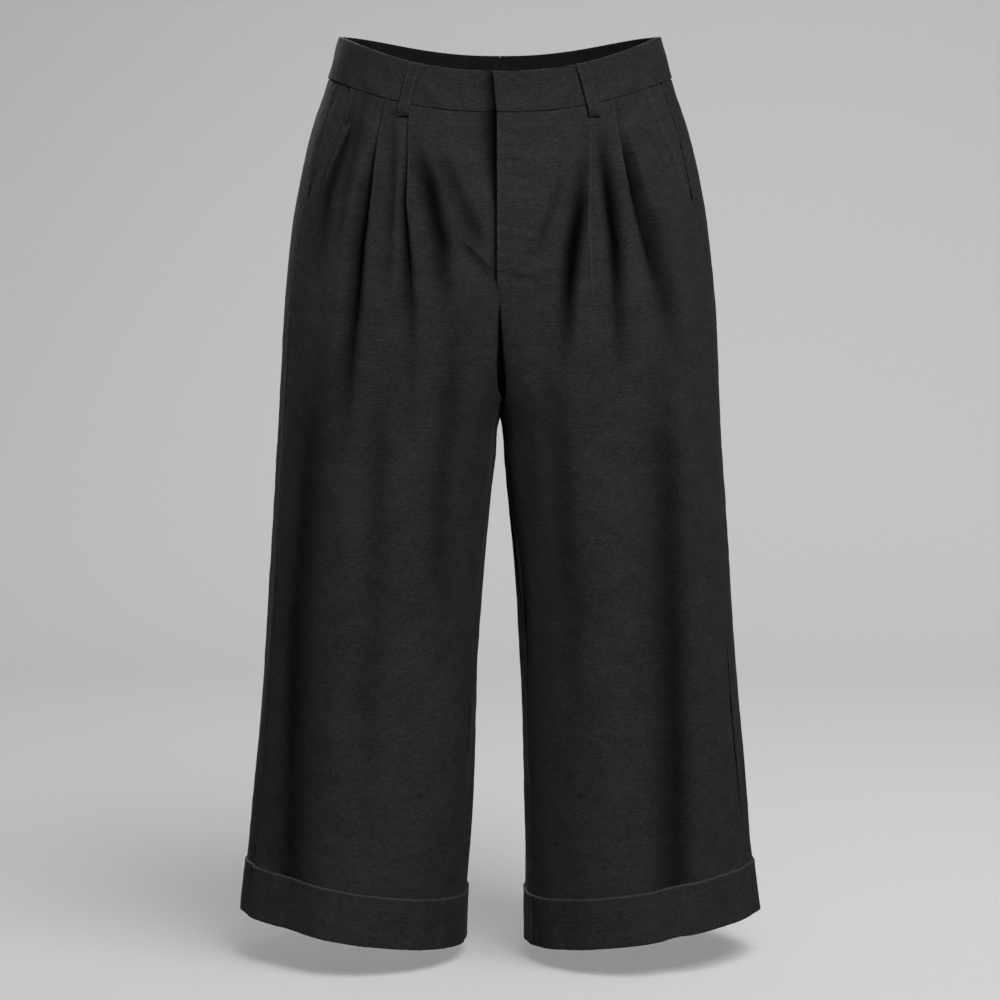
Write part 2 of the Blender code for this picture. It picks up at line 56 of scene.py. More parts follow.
# ---------------------------------------------------------------- sizes shared with the CAD model
SEAM_GAP = 0.0003
RIM = 0.0170
BAND_SEAM = -0.0175
CROTCH = -0.3160
CUFF_TOP = -0.7230
HEM = -0.7710
FRONT_DIP = 0.0280
BACK_DIP = 0.0160
FRONT_DIP_POWER = 2.6
BACK_DIP_POWER = 4.0
DIP_END = -0.3000
HEM_DROP = 0.0275
HEM_DROP_POWER = 1.5
HEM_DROP_START = -0.4500
SIDE_SEAM_ANGLE = math.radians(22)
INSEAM_ANGLE = math.radians(20)
INSEAM_SHIFT_HEIGHT = 0.080

Section = namedtuple(
    "Section",
    "height half_width inner_right inner_left front back inner_power outer_power",
)
SECTIONS = [
    Section(0.0170, 0.1405, -0.1405, -0.1405, 0.0930, 0.0950, 2.3, 2.3),
    Section(-0.0175, 0.1505, -0.1505, -0.1505, 0.0975, 0.1020, 2.3, 2.3),
    Section(-0.0600, 0.1652, -0.1560, -0.1560, 0.1055, 0.1150, 2.3, 2.25),
    Section(-0.1200, 0.1796, -0.1500, -0.1500, 0.1120, 0.1285, 2.4, 2.2),
    Section(-0.1800, 0.1882, -0.1180, -0.1180, 0.1150, 0.1345, 2.5, 2.2),
    Section(-0.2300, 0.1927, -0.0620, -0.0620, 0.1145, 0.1320, 2.7, 2.15),
    Section(-0.2600, 0.1944, -0.0370, -0.0370, 0.1130, 0.1280, 2.9, 2.1),
    Section(-0.2860, 0.1956, -0.0165, -0.0165, 0.1112, 0.1235, 3.0, 2.1),
    Section(-0.3010, 0.1964, -0.0055, -0.0055, 0.1100, 0.1205, 3.0, 2.1),
    Section(-0.3160, 0.1971, 0.0000, 0.0000, 0.1090, 0.1185, 2.9, 2.1),
    Section(-0.3600, 0.2002, 0.0055, 0.0045, 0.1065, 0.1140, 2.8, 2.1),
    Section(-0.4300, 0.2054, 0.0130, 0.0116, 0.1020, 0.1090, 2.5, 1.95),
    Section(-0.5000, 0.2103, 0.0184, 0.0166, 0.0980, 0.1055, 2.35, 1.85),
    Section(-0.5800, 0.2170, 0.0224, 0.0205, 0.0940, 0.1020, 2.25, 1.75),
    Section(-0.6500, 0.2239, 0.0256, 0.0225, 0.0900, 0.0990, 2.15, 1.68),
    Section(-0.7230, 0.2308, 0.0300, 0.0232, 0.0885, 0.0965, 2.05, 1.62),
    Section(-0.7710, 0.2368, 0.0322, 0.0238, 0.0865, 0.0950, 2.0, 1.6),
]

POCKET_TOP_X = 0.1290
POCKET_END = -0.1270
POCKET_BOW = 0.0060
FLY_X = -0.0030
FLY_END = -0.1640
OVERLAP_TOP_X = -0.0065
OVERLAP_SEAM_X = -0.0030
UNDERLAP_LENGTH = 0.0350
UNDERLAP_DEPTH = 0.0053
UNDERLAP_RAMP = (0.0180, 0.0040)

LOOP_WIDTH = 0.0110
LOOP_END = -0.0285
Loop = namedtuple("Loop", "name side face top_x end_x")
LOOPS = [
    Loop("belt_loop_front_right", "right", "front", 0.0713, 0.0821),
    Loop("belt_loop_front_left", "left", "front", 0.0688, 0.0804),
    Loop("belt_loop_back_right", "right", "back", 0.0800, 0.0860),
    Loop("belt_loop_back_left", "left", "back", 0.0800, 0.0860),
    Loop("belt_loop_back_centre", "left", "back", 0.0000, 0.0000),
]
# Height and stand-off of the underside of a belt loop, from the rim down.
LoopPoint = namedtuple("LoopPoint", "height stand_off")
LOOP_PATH = [
    LoopPoint(RIM - 0.0002, 0.0002),
    LoopPoint(RIM - 0.0030, 0.0007),
    LoopPoint(RIM - 0.0090, 0.0026),
    LoopPoint(-0.0020, 0.0034),
    LoopPoint(-0.0150, 0.0034),
    LoopPoint(-0.0240, 0.0030),
    LoopPoint(-0.0262, 0.0014),
    LoopPoint(LOOP_END, 0.0006),
]

# ---------------------------------------------------------------- cloth and seams
CLOTH = 0.9 * MM
GRAIN_X = 0.1000
SEAM_DIP = 0.5 * MM
SEAM_DIP_WIDTH = 1.0 * MM
PLACKET_WIDTH = 0.0322
PLACKET_RAISE = 0.8 * MM
FLY_CURVE_HEIGHT = 0.0240
UNDER_RUN = 0.0060
UNDER_SINK = 1.5 * MM
POCKET_STITCH_INSET = 4.8 * MM
TUCK_HEIGHT = 1.2 * MM
TUCK_DEPTH = 1.6 * MM
STITCH_GROOVE = 0.45 * MM

# A pleat is folded towards the side: the cloth on its inner side lies on top of a deep groove. x is
# its line at the eight levels, depth the drop there, under how far the cloth folds back beneath the
# edge, reach the width of the groove, all but x in millimetres, and soft the share of the drop that
# is a gentle slope instead of a folded edge. Light hardly reaches into the groove, so shade is painted
# there: shade is how dark the cloth is painted and shade_width how far that painted shade reaches from
# the edge, in millimetres.
PLEAT_LEVELS = (-0.0175, -0.0485, -0.0720, -0.1035, -0.1522, -0.1999, -0.2462, -0.3300)
Pleat = namedtuple("Pleat", "side x depth under reach soft shade shade_width")
PLEATS = [
    Pleat(
        "right",
        (0.0770, 0.0780, 0.0782, 0.0792, 0.0765, 0.0755, 0.0750, 0.0740),
        (0.6, 2.0, 3.6, 5.0, 7.0, 4.5, 1.6, 0.0),
        (0.4, 1.0, 1.6, 2.0, 1.2, 0.2, 0.0, 0.0),
        (4, 4, 4, 5, 9, 12, 14, 18),
        (0.0, 0.0, 0.0, 0.0, 0.4, 1.0, 1.0, 1.0),
        (0.0, 0.4, 0.75, 0.95, 0.85, 0.50, 0.2, 0.0),
        (1, 1.2, 1.6, 3.0, 4.5, 8, 10, 12),
    ),
    Pleat(
        "right",
        (0.0977, 0.1049, 0.1083, 0.1116, 0.1195, 0.1235, 0.1280, 0.1340),
        (0.8, 2.4, 8.0, 13.0, 12.0, 8.0, 4.5, 0.0),
        (0.5, 1.2, 2.4, 3.0, 1.8, 0.4, 0.0, 0.0),
        (4, 5, 7, 11, 14, 17, 20, 26),
        (0.0, 0.0, 0.0, 0.0, 0.4, 0.9, 1.0, 1.0),
        (0.0, 0.25, 0.85, 0.96, 0.92, 0.82, 0.60, 0.0),
        (1, 1.5, 3.5, 7.0, 9.0, 10.0, 12.0, 16),
    ),
    Pleat(
        "left",
        (0.0971, 0.1025, 0.1069, 0.1140, 0.1290, 0.1390, 0.1440, 0.1500),
        (0.9, 4.0, 11.0, 13.0, 8.0, 3.5, 1.5, 0.0),
        (0.6, 1.6, 3.0, 2.6, 0.4, 0.0, 0.0, 0.0),
        (4, 6, 8, 12, 17, 20, 22, 26),
        (0.0, 0.0, 0.0, 0.2, 0.9, 1.0, 1.0, 1.0),
        (0.0, 0.40, 0.95, 0.97, 0.60, 0.25, 0.1, 0.0),
        (1, 2.5, 5.0, 8.0, 9.0, 11.0, 12.0, 16),
    ),
]
SOFT_SLOPE = 7.0 * MM
HIGHLIGHT_WIDTH = 0.6 * MM
OVERHUNG_SHARE = 0.45
DEEPEST_FOLD = 6.0 * MM
FOLD_SHADE = 0.95
# The folded edge of a pleat in section: place across its narrow zone, and the share of `under` and
# of `depth` reached there.
FOLD_HALF_WIDTH = 1.4 * MM
FoldPoint = namedtuple("FoldPoint", "place under drop")
FOLD = [
    FoldPoint(-1.00, 0.00, 0.000),
    FoldPoint(-0.60, 0.00, 0.000),
    FoldPoint(-0.25, 0.00, 0.025),
    FoldPoint(0.00, 0.00, 0.110),
    FoldPoint(0.05, 0.30, 0.230),
    FoldPoint(0.10, 0.80, 0.400),
    FoldPoint(0.15, 1.00, 0.580),
    FoldPoint(0.25, 0.80, 0.780),
    FoldPoint(0.45, 0.35, 0.930),
    FoldPoint(0.70, 0.05, 0.990),
    FoldPoint(1.00, 0.00, 1.000),
]

# A fold is a soft trough (depth above 0) or ridge (below 0) along a line of (height, flat x) points.
# depth gives its millimetres at those points; inner and outer are its widths, in millimetres,
# towards the centre and towards the side.
FOLD_GAIN = 1.35
Fold = namedtuple("Fold", "side face line depth inner outer")
FOLDS = [
    # right front, from the centre to the side
    Fold("right", "front", ((-0.045, 0.073), (-0.086, 0.059), (-0.138, 0.049), (-0.230, 0.046)), (0.5, 4.2, 4.0, 0.0), 7, 10),
    Fold("right", "front", ((-0.050, 0.050), (-0.066, 0.045), (-0.127, 0.020), (-0.150, 0.012)), (0.0, 1.6, 2.6, 0.0), 6, 9),
    Fold("right", "front", ((-0.128, 0.036), (-0.138, 0.028), (-0.158, 0.010), (-0.168, 0.003)), (0.0, -1.1, -1.2, 0.0), 3, 3),
    Fold("right", "front", ((-0.138, 0.034), (-0.148, 0.025), (-0.168, 0.009), (-0.178, 0.003)), (0.0, 1.6, 1.6, 0.0), 4, 5),
    Fold("right", "front", ((-0.022, 0.092), (-0.060, 0.0915), (-0.117, 0.094), (-0.210, 0.099)), (0.3, 1.5, 1.8, 0.0), 4, 6),
    Fold("right", "front", ((-0.060, 0.085), (-0.110, 0.085), (-0.190, 0.082), (-0.260, 0.080)), (0.0, -0.7, -1.0, 0.0), 4, 4),
    Fold("right", "front", ((-0.030, 0.131), (-0.059, 0.142), (-0.114, 0.162), (-0.190, 0.170)), (0.4, 2.8, 3.2, 0.0), 9, 9),
    Fold("right", "front", ((-0.022, 0.120), (-0.060, 0.128), (-0.110, 0.140), (-0.160, 0.148)), (0.5, 1.5, 1.2, 0.0), 4, 5),
    Fold("right", "front", ((-0.230, 0.156), (-0.330, 0.176), (-0.500, 0.196), (-0.771, 0.200)), (0.0, 2.6, 3.2, 3.0), 24, 14),
    Fold("right", "front", ((-0.240, 0.100), (-0.330, 0.104), (-0.520, 0.112), (-0.700, 0.120)), (0.0, 1.6, 1.2, 0.0), 12, 12),
    Fold("right", "front", ((-0.190, 0.030), (-0.260, 0.040), (-0.380, 0.050), (-0.560, 0.052)), (0.0, 1.8, 1.8, 0.0), 12, 12),
    # left front
    Fold("left", "front", ((-0.038, 0.0749), (-0.083, 0.0700), (-0.112, 0.0685), (-0.145, 0.0635), (-0.193, 0.0590), (-0.270, 0.0560)), (0.4, 2.4, 4.6, 5.4, 4.2, 0.0), 9, 5),
    Fold("left", "front", ((-0.024, 0.0767), (-0.073, 0.0757), (-0.121, 0.0752), (-0.168, 0.0777), (-0.217, 0.0800)), (-0.5, -0.7, -0.7, -0.7, 0.0), 1.4, 1.4),
    Fold("left", "front", ((-0.030, 0.0840), (-0.059, 0.0880), (-0.086, 0.0922), (-0.117, 0.0964), (-0.148, 0.0998), (-0.195, 0.1015), (-0.290, 0.1050)), (0.4, 2.2, 4.2, 5.2, 5.2, 3.4, 0.0), 6, 7),
    Fold("left", "front", ((-0.110, 0.1330), (-0.155, 0.1365), (-0.193, 0.1500), (-0.270, 0.1600)), (0.0, 3.0, 2.6, 0.0), 8, 10),
    Fold("left", "front", ((-0.135, 0.1140), (-0.152, 0.1145), (-0.190, 0.1210), (-0.227, 0.1262)), (0.0, -0.6, -0.6, 0.0), 1.3, 1.3),
    Fold("left", "front", ((-0.070, 0.0550), (-0.094, 0.0465), (-0.128, 0.0350), (-0.156, 0.0300)), (0.0, 1.6, 1.8, 0.4), 3, 4),
    Fold("left", "front", ((-0.168, 0.0060), (-0.174, 0.0150), (-0.175, 0.0280), (-0.166, 0.0560)), (0.0, 1.6, 1.2, 0.0), 4, 3),
    Fold("left", "front", ((-0.185, 0.0050), (-0.183, 0.0200), (-0.180, 0.0400), (-0.172, 0.0620)), (0.0, -0.8, -0.7, 0.0), 5, 5),
    Fold("left", "front", ((-0.030, 0.110), (-0.060, 0.116), (-0.100, 0.126), (-0.140, 0.140)), (0.2, -0.8, -1.0, 0.0), 5, 5),
    Fold("left", "front", ((-0.250, 0.140), (-0.360, 0.150), (-0.560, 0.158), (-0.771, 0.162)), (0.0, 2.6, 3.2, 3.0), 22, 14),
    Fold("left", "front", ((-0.220, 0.040), (-0.330, 0.050), (-0.520, 0.058), (-0.690, 0.062)), (0.0, 1.8, 1.5, 0.0), 13, 13),
    Fold("left", "front", ((-0.280, 0.085), (-0.400, 0.090), (-0.600, 0.098), (-0.720, 0.102)), (0.0, -1.2, -1.2, 0.0), 12, 12),
    # backs: a dart on each side, then folds from the seat down the legs
    Fold("right", "back", ((-0.019, 0.0740), (-0.050, 0.0730), (-0.085, 0.0715), (-0.110, 0.0700)), (0.9, 0.9, 0.6, 0.0), 1.6, 1.6),
    Fold("right", "back", ((-0.200, 0.020), (-0.250, 0.045), (-0.300, 0.075), (-0.340, 0.100)), (0.0, 2.4, 2.6, 0.0), 9, 12),
    Fold("right", "back", ((-0.260, 0.070), (-0.400, 0.084), (-0.560, 0.092), (-0.771, 0.100)), (0.0, 4.2, 5.0, 4.6), 18, 22),
    Fold("right", "back", ((-0.330, 0.135), (-0.450, 0.150), (-0.620, 0.166), (-0.771, 0.172)), (0.0, 3.6, 4.4, 4.0), 16, 20),
    Fold("right", "back", ((-0.080, 0.140), (-0.140, 0.150), (-0.210, 0.158), (-0.290, 0.160)), (0.0, 2.0, 1.6, 0.0), 10, 10),
    Fold("right", "back", ((-0.360, 0.040), (-0.450, 0.046), (-0.600, 0.048), (-0.720, 0.050)), (0.0, -2.0, -2.2, 0.0), 12, 12),
    Fold("left", "back", ((-0.019, 0.0740), (-0.050, 0.0730), (-0.080, 0.0718), (-0.105, 0.0705)), (0.9, 0.9, 0.6, 0.0), 1.6, 1.6),
    Fold("left", "back", ((-0.215, 0.024), (-0.255, 0.050), (-0.296, 0.084), (-0.330, 0.110)), (0.0, 2.2, 2.8, 0.0), 9, 11),
    Fold("left", "back", ((-0.290, 0.060), (-0.420, 0.070), (-0.580, 0.080), (-0.771, 0.086)), (0.0, 3.6, 4.6, 4.2), 18, 20),
    Fold("left", "back", ((-0.270, 0.125), (-0.400, 0.140), (-0.560, 0.150), (-0.720, 0.156)), (0.0, 4.2, 4.4, 0.0), 15, 20),
    Fold("left", "back", ((-0.090, 0.132), (-0.150, 0.140), (-0.220, 0.150), (-0.300, 0.156)), (0.0, 1.6, 2.0, 0.0), 11, 9),
    Fold("left", "back", ((-0.450, 0.180), (-0.560, 0.188), (-0.680, 0.192), (-0.771, 0.195)), (0.0, -2.0, -2.4, -2.0), 12, 12),
]

ARC_STEPS = 900


# ---------------------------------------------------------------- section curves
def smooth_through(places, values, place):
    """A smooth curve through the given values, read at one place; the ends run on level."""
    places = np.asarray(places, float)
    values = np.asarray(values, float)
    if places[0] > places[-1]:
        places = places[::-1]
        values = values[::-1]
    slopes = np.gradient(values, places)
    i = int(np.clip(np.searchsorted(places, place) - 1, 0, len(places) - 2))
    width = places[i + 1] - places[i]
    t = float(np.clip((place - places[i]) / width, 0.0, 1.0))
    start = (1 + 2 * t) * (1 - t) ** 2 * values[i] + t * (1 - t) ** 2 * width * slopes[i]
    end = t * t * (3 - 2 * t) * values[i + 1] + t * t * (t - 1) * width * slopes[i + 1]
    return start + end


def ease(t):
    """0 to 1 with a level start and end."""
    t = np.clip(t, 0.0, 1.0)
    return t * t * (3 - 2 * t)


def bell(distance, width):
    return np.exp(-((distance / width) ** 2))


def section_value(name, height):
    heights = [row.height for row in SECTIONS]
    return smooth_through(heights, [getattr(row, name) for row in SECTIONS], height)


def signed_power(value, power):
    return np.sign(value) * np.abs(value) ** power


def loop_point(side, height, angle):
    """Points of one leg's loop: angle 0 is the outer side, a quarter turn the front."""
    outer = section_value("half_width", height)
    inner = section_value("inner_" + side, height)
    middle = (outer + inner) / 2
    reach = (outer - inner) / 2
    powers = (section_value("outer_power", height), section_value("inner_power", height))
    power = np.where(np.cos(angle) > 0, *powers)
    front = section_value("front", height)
    depth = np.where(np.sin(angle) > 0, front, section_value("back", height))
    x = middle + reach * signed_power(np.cos(angle), 2 / power)
    y = -depth * signed_power(np.sin(angle), 2 / power)
    return x, y


def above_fly_end(height):
    """1 beside the fly, 0 below its end."""
    return 1 - ease((FLY_END - 0.005 - height) / 0.030)


def centre_start(side, face, height):
    """x where a panel begins at the centre. One of the two always runs on beneath the other."""
    lap = -SIDES[side] * -FLY_X * above_fly_end(height) if face == "front" else 0.0
    runs_under = side == "right" if face == "front" else side == "left"
    return SEAM_GAP / 2 + lap - (UNDER_RUN if runs_under else 0.0)


def cut_angle(side, height, face, limit):
    """The angle at which the loop crosses x = limit on one face, or pi where it doesn't."""
    sign = 1 if face == "front" else -1
    angles = np.linspace(0, math.pi, 2 * ARC_STEPS)
    x, _ = loop_point(side, height, sign * angles)
    if x[-1] >= limit:
        return sign * math.pi
    return sign * float(np.interp(-limit, -x, angles))


def inseam_angle(height):
    """The inseam leaves the crotch at the loop's inner end and moves forward below it."""
    return math.pi - INSEAM_ANGLE * float(ease((CROTCH - height) / INSEAM_SHIFT_HEIGHT))


def face_angles(side, height, face):
    """The first and last angle of a front or a back: from the centre or inseam to the side seam."""
    inseam = inseam_angle(height)
    cut = cut_angle(side, height, face, centre_start(side, face, height))
    if face == "front":
        return min(cut, inseam), SIDE_SEAM_ANGLE
    first = inseam - 2 * math.pi if cut == -math.pi else cut
    return first, SIDE_SEAM_ANGLE


class Arc:
    """A stretch of one leg's loop, which can be read by its length from the start."""

    def __init__(self, side, height, first, last):
        angles = np.linspace(first, last, ARC_STEPS)
        self.x, self.y = loop_point(side, height, angles)
        steps = np.hypot(np.diff(self.x), np.diff(self.y))
        self.along = np.concatenate([[0.0], np.cumsum(steps)])
        self.length = self.along[-1]
        turn = 1 if last < first else -1
        tangent_x = np.gradient(self.x, self.along)
        tangent_y = np.gradient(self.y, self.along)
        size = np.hypot(tangent_x, tangent_y)
        self.out_x = turn * tangent_y / size
        self.out_y = -turn * tangent_x / size

    def at_x(self, x):
        """The length at which the arc, past its innermost point, reaches x."""
        return float(np.interp(x, np.maximum.accumulate(self.x), self.along))

    def read(self, along, out):
        x = np.interp(along, self.along, self.x)
        y = np.interp(along, self.along, self.y)
        out_x = np.interp(along, self.along, self.out_x)
        out_y = np.interp(along, self.along, self.out_y)
        return x + out * out_x, y + out * out_y


def dropped(side, height, x, y):
    """The true height of a point: the waist dips to the centre, the hem drops to the inseam."""
    front = section_value("front", height)
    back = section_value("back", height)
    front_dip = FRONT_DIP * np.clip(-y / front, 0, 1) ** FRONT_DIP_POWER
    back_dip = BACK_DIP * np.clip(y / back, 0, 1) ** BACK_DIP_POWER
    dip = (front_dip + back_dip) * (1 - ease((BAND_SEAM - height) / (BAND_SEAM - DIP_END)))
    outer = section_value("half_width", height)
    inner = section_value("inner_" + side, height)
    inwards = np.clip((outer - x) / (outer - inner), 0, 1)
    drop = HEM_DROP * ease((HEM_DROP_START - height) / (HEM_DROP_START - CUFF_TOP))
    return height - dip - drop * inwards**HEM_DROP_POWER


def world_points(side, height, arc, along, out):
    """World points at lengths along an arc, `out` from it and level with the arc itself."""
    z = dropped(side, height, *arc.read(along, 0.0))
    x, y = arc.read(along, out)
    return np.column_stack([SIDES[side] * x, y, z])


def panel_arc(side, face, height):
    return Arc(side, height, *face_angles(side, height, face))


# ---------------------------------------------------------------- meshes
def grid_normals(points, turn):
    """Unit normals of a grid of points, one row after another; turn is 1 or -1."""
    down = np.gradient(points, axis=0)
    across = np.gradient(points, axis=1)
    normals = turn * np.cross(down, across)
    size = np.linalg.norm(normals, axis=2, keepdims=True)
    return normals / np.maximum(size, 1e-12)


def quads(rows, columns, start, flipped):
    """Corner indices of the faces of a grid of points."""
    index = start + np.arange(rows * columns).reshape(rows, columns)
    faces = np.stack([index[:-1, :-1], index[1:, :-1], index[1:, 1:], index[:-1, 1:]], axis=-1)
    faces = faces.reshape(-1, 4)
    return faces[:, ::-1] if flipped else faces


def border(rows, columns, start):
    index = start + np.arange(rows * columns).reshape(rows, columns)
    return np.concatenate([index[0, :-1], index[:-1, -1], index[-1, :0:-1], index[:0:-1, 0]])


def make_piece(name, points, faces, flat, material, marks=None, sharp=None):
    """A visible piece with its flat coordinates as a UV map and its marks as point attributes."""
    mesh = bpy.data.meshes.new(name)
    mesh.from_pydata(points.tolist(), [], faces.tolist())
    corners = np.empty(len(mesh.loops), np.int32)
    mesh.loops.foreach_get("vertex_index", corners)
    uv_map = mesh.uv_layers.new(name="cloth")
    uv_map.data.foreach_set("uv", flat[corners].ravel())
    for mark, values in (marks or {}).items():
        mesh.attributes.new(mark, "FLOAT", "POINT").data.foreach_set("value", values)
    mesh.shade_smooth()
    if sharp is not None:
        edges = np.empty(len(mesh.edges) * 2, np.int32)
        mesh.edges.foreach_get("vertices", edges)
        edges = edges.reshape(-1, 2)
        on_rim = sharp[edges[:, 0]] & (sharp[edges[:, 0]] == sharp[edges[:, 1]])
        on_rim = on_rim.astype(bool)
        mesh.attributes.new("sharp_edge", "BOOLEAN", "EDGE").data.foreach_set("value", on_rim)
    mesh.materials.append(material)
    piece = bpy.data.objects.new(name, mesh)
    GARMENT.objects.link(piece)
    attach(piece, "root")
    return piece


def shell(name, points, flat, material, turn, thickness=CLOTH, marks=None):
    """A sheet of cloth: the given outer face, an inner face behind it and a rim between them."""
    rows, columns = points.shape[:2]
    normals = grid_normals(points, turn)
    inner = points - normals * thickness
    count = rows * columns
    outer_rim = border(rows, columns, 0)
    inner_rim = border(rows, columns, count)
    ahead = np.roll(outer_rim, -1)
    inner_ahead = np.roll(inner_rim, -1)
    rim = np.stack([outer_rim, ahead, inner_ahead, inner_rim], axis=-1)
    if turn < 0:
        rim = rim[:, ::-1]
    faces = np.concatenate(
        [quads(rows, columns, 0, turn < 0), quads(rows, columns, count, turn > 0), rim]
    )
    every_point = np.concatenate([points.reshape(-1, 3), inner.reshape(-1, 3)])
    every_flat = np.concatenate([flat.reshape(-1, 2)] * 2)
    sharp = np.zeros(2 * count, np.int8)
    sharp[outer_rim] = 1
    sharp[inner_rim] = 2
    doubled = {mark: np.tile(values.ravel(), 2) for mark, values in (marks or {}).items()}
    return make_piece(name, every_point, faces, every_flat, material, doubled, sharp)


def tube(name, points, flat, material, turn, capped=True, marks=None):
    """A closed profile swept along a path: one row for each place, its last point the first."""
    rows, columns = points.shape[:2]
    faces = quads(rows, columns, 0, turn < 0).tolist()
    if capped:
        index = np.arange(rows * columns).reshape(rows, columns)
        first = index[0, :-1].tolist()
        last = index[-1, :-1].tolist()
        faces.append(first if turn > 0 else first[::-1])
        faces.append(last[::-1] if turn > 0 else last)
    mesh_points = points.reshape(-1, 3)
    piece = make_piece(
        name, mesh_points, ListOfFaces(faces), flat.reshape(-1, 2), material,
        {mark: values.ravel() for mark, values in (marks or {}).items()},
    )
    weld(piece)
    return piece


class ListOfFaces(list):
    def tolist(self):
        return list(self)


def weld(piece):
    grid = bmesh.new()
    grid.from_mesh(piece.data)
    bmesh.ops.remove_doubles(grid, verts=grid.verts, dist=1e-6)
    grid.to_mesh(piece.data)
    grid.free()


# ---------------------------------------------------------------- folds of the panels
def line_distance(u, h, line):
    """Signed distance to a line of (height, flat x) points, and the place along it in points."""
    best = np.full(u.shape, 1e9)
    signed = np.zeros(u.shape)
    place = np.zeros(u.shape)
    for k in range(len(line) - 1):
        (h0, u0), (h1, u1) = line[k], line[k + 1]
        run = np.array([u1 - u0, h1 - h0])
        length = math.hypot(*run)
        t = ((u - u0) * run[0] + (h - h0) * run[1]) / length**2
        nearest = np.clip(t, 0, 1)
        gap = np.hypot(u - u0 - nearest * run[0], h - h0 - nearest * run[1])
        side = np.sign((h - h0) * run[0] - (u - u0) * run[1])
        closer = gap < best
        best = np.where(closer, gap, best)
        signed = np.where(closer, side * gap, signed)
        place = np.where(closer, k + nearest, place)
    return signed, place


def fold_relief(fold, u, h):
    signed, place = line_distance(u, h, fold.line)
    depth = FOLD_GAIN * np.interp(place, range(len(fold.depth)), fold.depth) * MM
    width = np.where(signed < 0, fold.inner, fold.outer) * MM
    return -depth * bell(signed, width)


def waves(seed, count, across, down, u, h):
    """Gentle irregular waves; across and down are the shortest and longest wavelengths."""
    dice = np.random.default_rng(seed)
    total = np.zeros(u.shape)
    for _ in range(count):
        turns = 2 * math.pi * dice.choice([-1, 1], 2)
        rate_u = turns[0] / math.exp(dice.uniform(*np.log(across)))
        rate_h = turns[1] / math.exp(dice.uniform(*np.log(down)))
        total += np.sin(rate_u * u + rate_h * h + dice.uniform(0, 2 * math.pi))
    return total / math.sqrt(count)


def pleat_value(values, height):
    return np.interp(-height, [-level for level in PLEAT_LEVELS], values)


def seam_shape(distance, h, seed):
    """A pressed seam: a narrow dip at its edge and faint puckers beside it."""
    dip = -SEAM_DIP * np.exp(-((distance / SEAM_DIP_WIDTH) ** 1.5))
    pucker = 0.22 * MM * waves(seed, 5, (0.05, 0.09), (0.007, 0.016), distance, h)
    return dip + pucker * np.exp(-distance / (6 * MM))


def pocket_edge(arc, height):
    """Length along the front at which it ends: the slant of the pocket, then the side seam."""
    t = (BAND_SEAM - height) / (BAND_SEAM - POCKET_END)
    if t >= 1:
        return arc.length - SEAM_GAP / 2
    t = max(t, -0.05)
    start = arc.at_x(POCKET_TOP_X)
    end = arc.length - SEAM_GAP / 2
    return start + (end - start) * t + POCKET_BOW * math.sin(math.pi * t)


# ---------------------------------------------------------------- fronts and backs
EDGE_PLACES = np.array([0.0, 0.35, 0.8, 1.4, 2.2, 3.2, 4.6, 6.2]) * MM
CREASE_PLACES = np.array([-2.4, -1.6, -1.0, -0.5, 0.0, 0.5, 1.0, 1.6, 2.4]) * MM
FRONT_SPANS = {"right": (34, 16, 30), "left": (14, 20, 12, 30)}
BACK_SPAN = 116
C_LINE = ((-0.0175, 0.0767), (-0.073, 0.0757), (-0.121, 0.0752), (-0.168, 0.0777), (-0.217, 0.0800), (-0.771, 0.0800))


def level_list():
    """Levels of a panel from its tucked top edge to the hem."""
    top = BAND_SEAM + np.array([2.6, 1.4, 0.6, 0.1, -0.3, -0.8, -1.5, -2.4]) * MM
    upper = np.arange(BAND_SEAM - 0.0042, CROTCH - 0.010, -0.0022)
    lower = np.arange(upper[-1] - 0.0030, CUFF_TOP + 0.006, -0.0038)
    near_cuff = CUFF_TOP + np.array([5.0, 3.2, 1.8, 0.8, 0.0, -1.0]) * MM
    cuff = np.linspace(CUFF_TOP - 0.006, HEM + 0.0006, 9)
    return np.concatenate([top, upper, lower, near_cuff, cuff])


LEVELS = level_list()


def columns_between(knots, spans):
    """Places from knot to knot: knots are arrays of fixed places, spans the counts between them."""
    parts = [knots[0]]
    for before, after, count in zip(knots, knots[1:], spans):
        parts.append(np.linspace(before[-1], after[0], count + 1)[1:-1])
        parts.append(after)
    return np.concatenate(parts)


def front_columns(side, arc, height):
    """Lengths along a front, with closer columns at its edges, pleats and pressed lines."""
    edge = pocket_edge(arc, height)
    fold_places = np.array([point.place for point in FOLD]) * FOLD_HALF_WIDTH
    knots = [SEAM_GAP / 2 + EDGE_PLACES]
    if side == "left":
        placket = arc.at_x(FLY_X + PLACKET_WIDTH) if height > FLY_END - 0.03 else arc.at_x(0.0305)
        knots.append(max(placket, 0.012) + CREASE_PLACES)
        crease_x = np.interp(-height, [-p[0] for p in C_LINE], [p[1] for p in C_LINE])
        knots.append(arc.at_x(GRAIN_X) - GRAIN_X + crease_x + CREASE_PLACES)
    for pleat in PLEATS:
        if pleat.side == side:
            line = pleat_value(pleat.x, height) + pleat_run_on(height)
            knots.append(arc.at_x(GRAIN_X) - GRAIN_X + line + fold_places)
    knots.append(edge - EDGE_PLACES[::-1])
    return columns_between(knots, FRONT_SPANS[side])


def pleat_run_on(height):
    """Below the pleats their columns go on down the leg and drift outwards."""
    return 0.010 * float(ease((PLEAT_LEVELS[-1] - height) / (PLEAT_LEVELS[-1] - HEM)))


def back_columns(arc):
    edge = arc.length - SEAM_GAP / 2
    return columns_between(
        [SEAM_GAP / 2 + EDGE_PLACES, edge - EDGE_PLACES[::-1]], (BACK_SPAN,)
    )


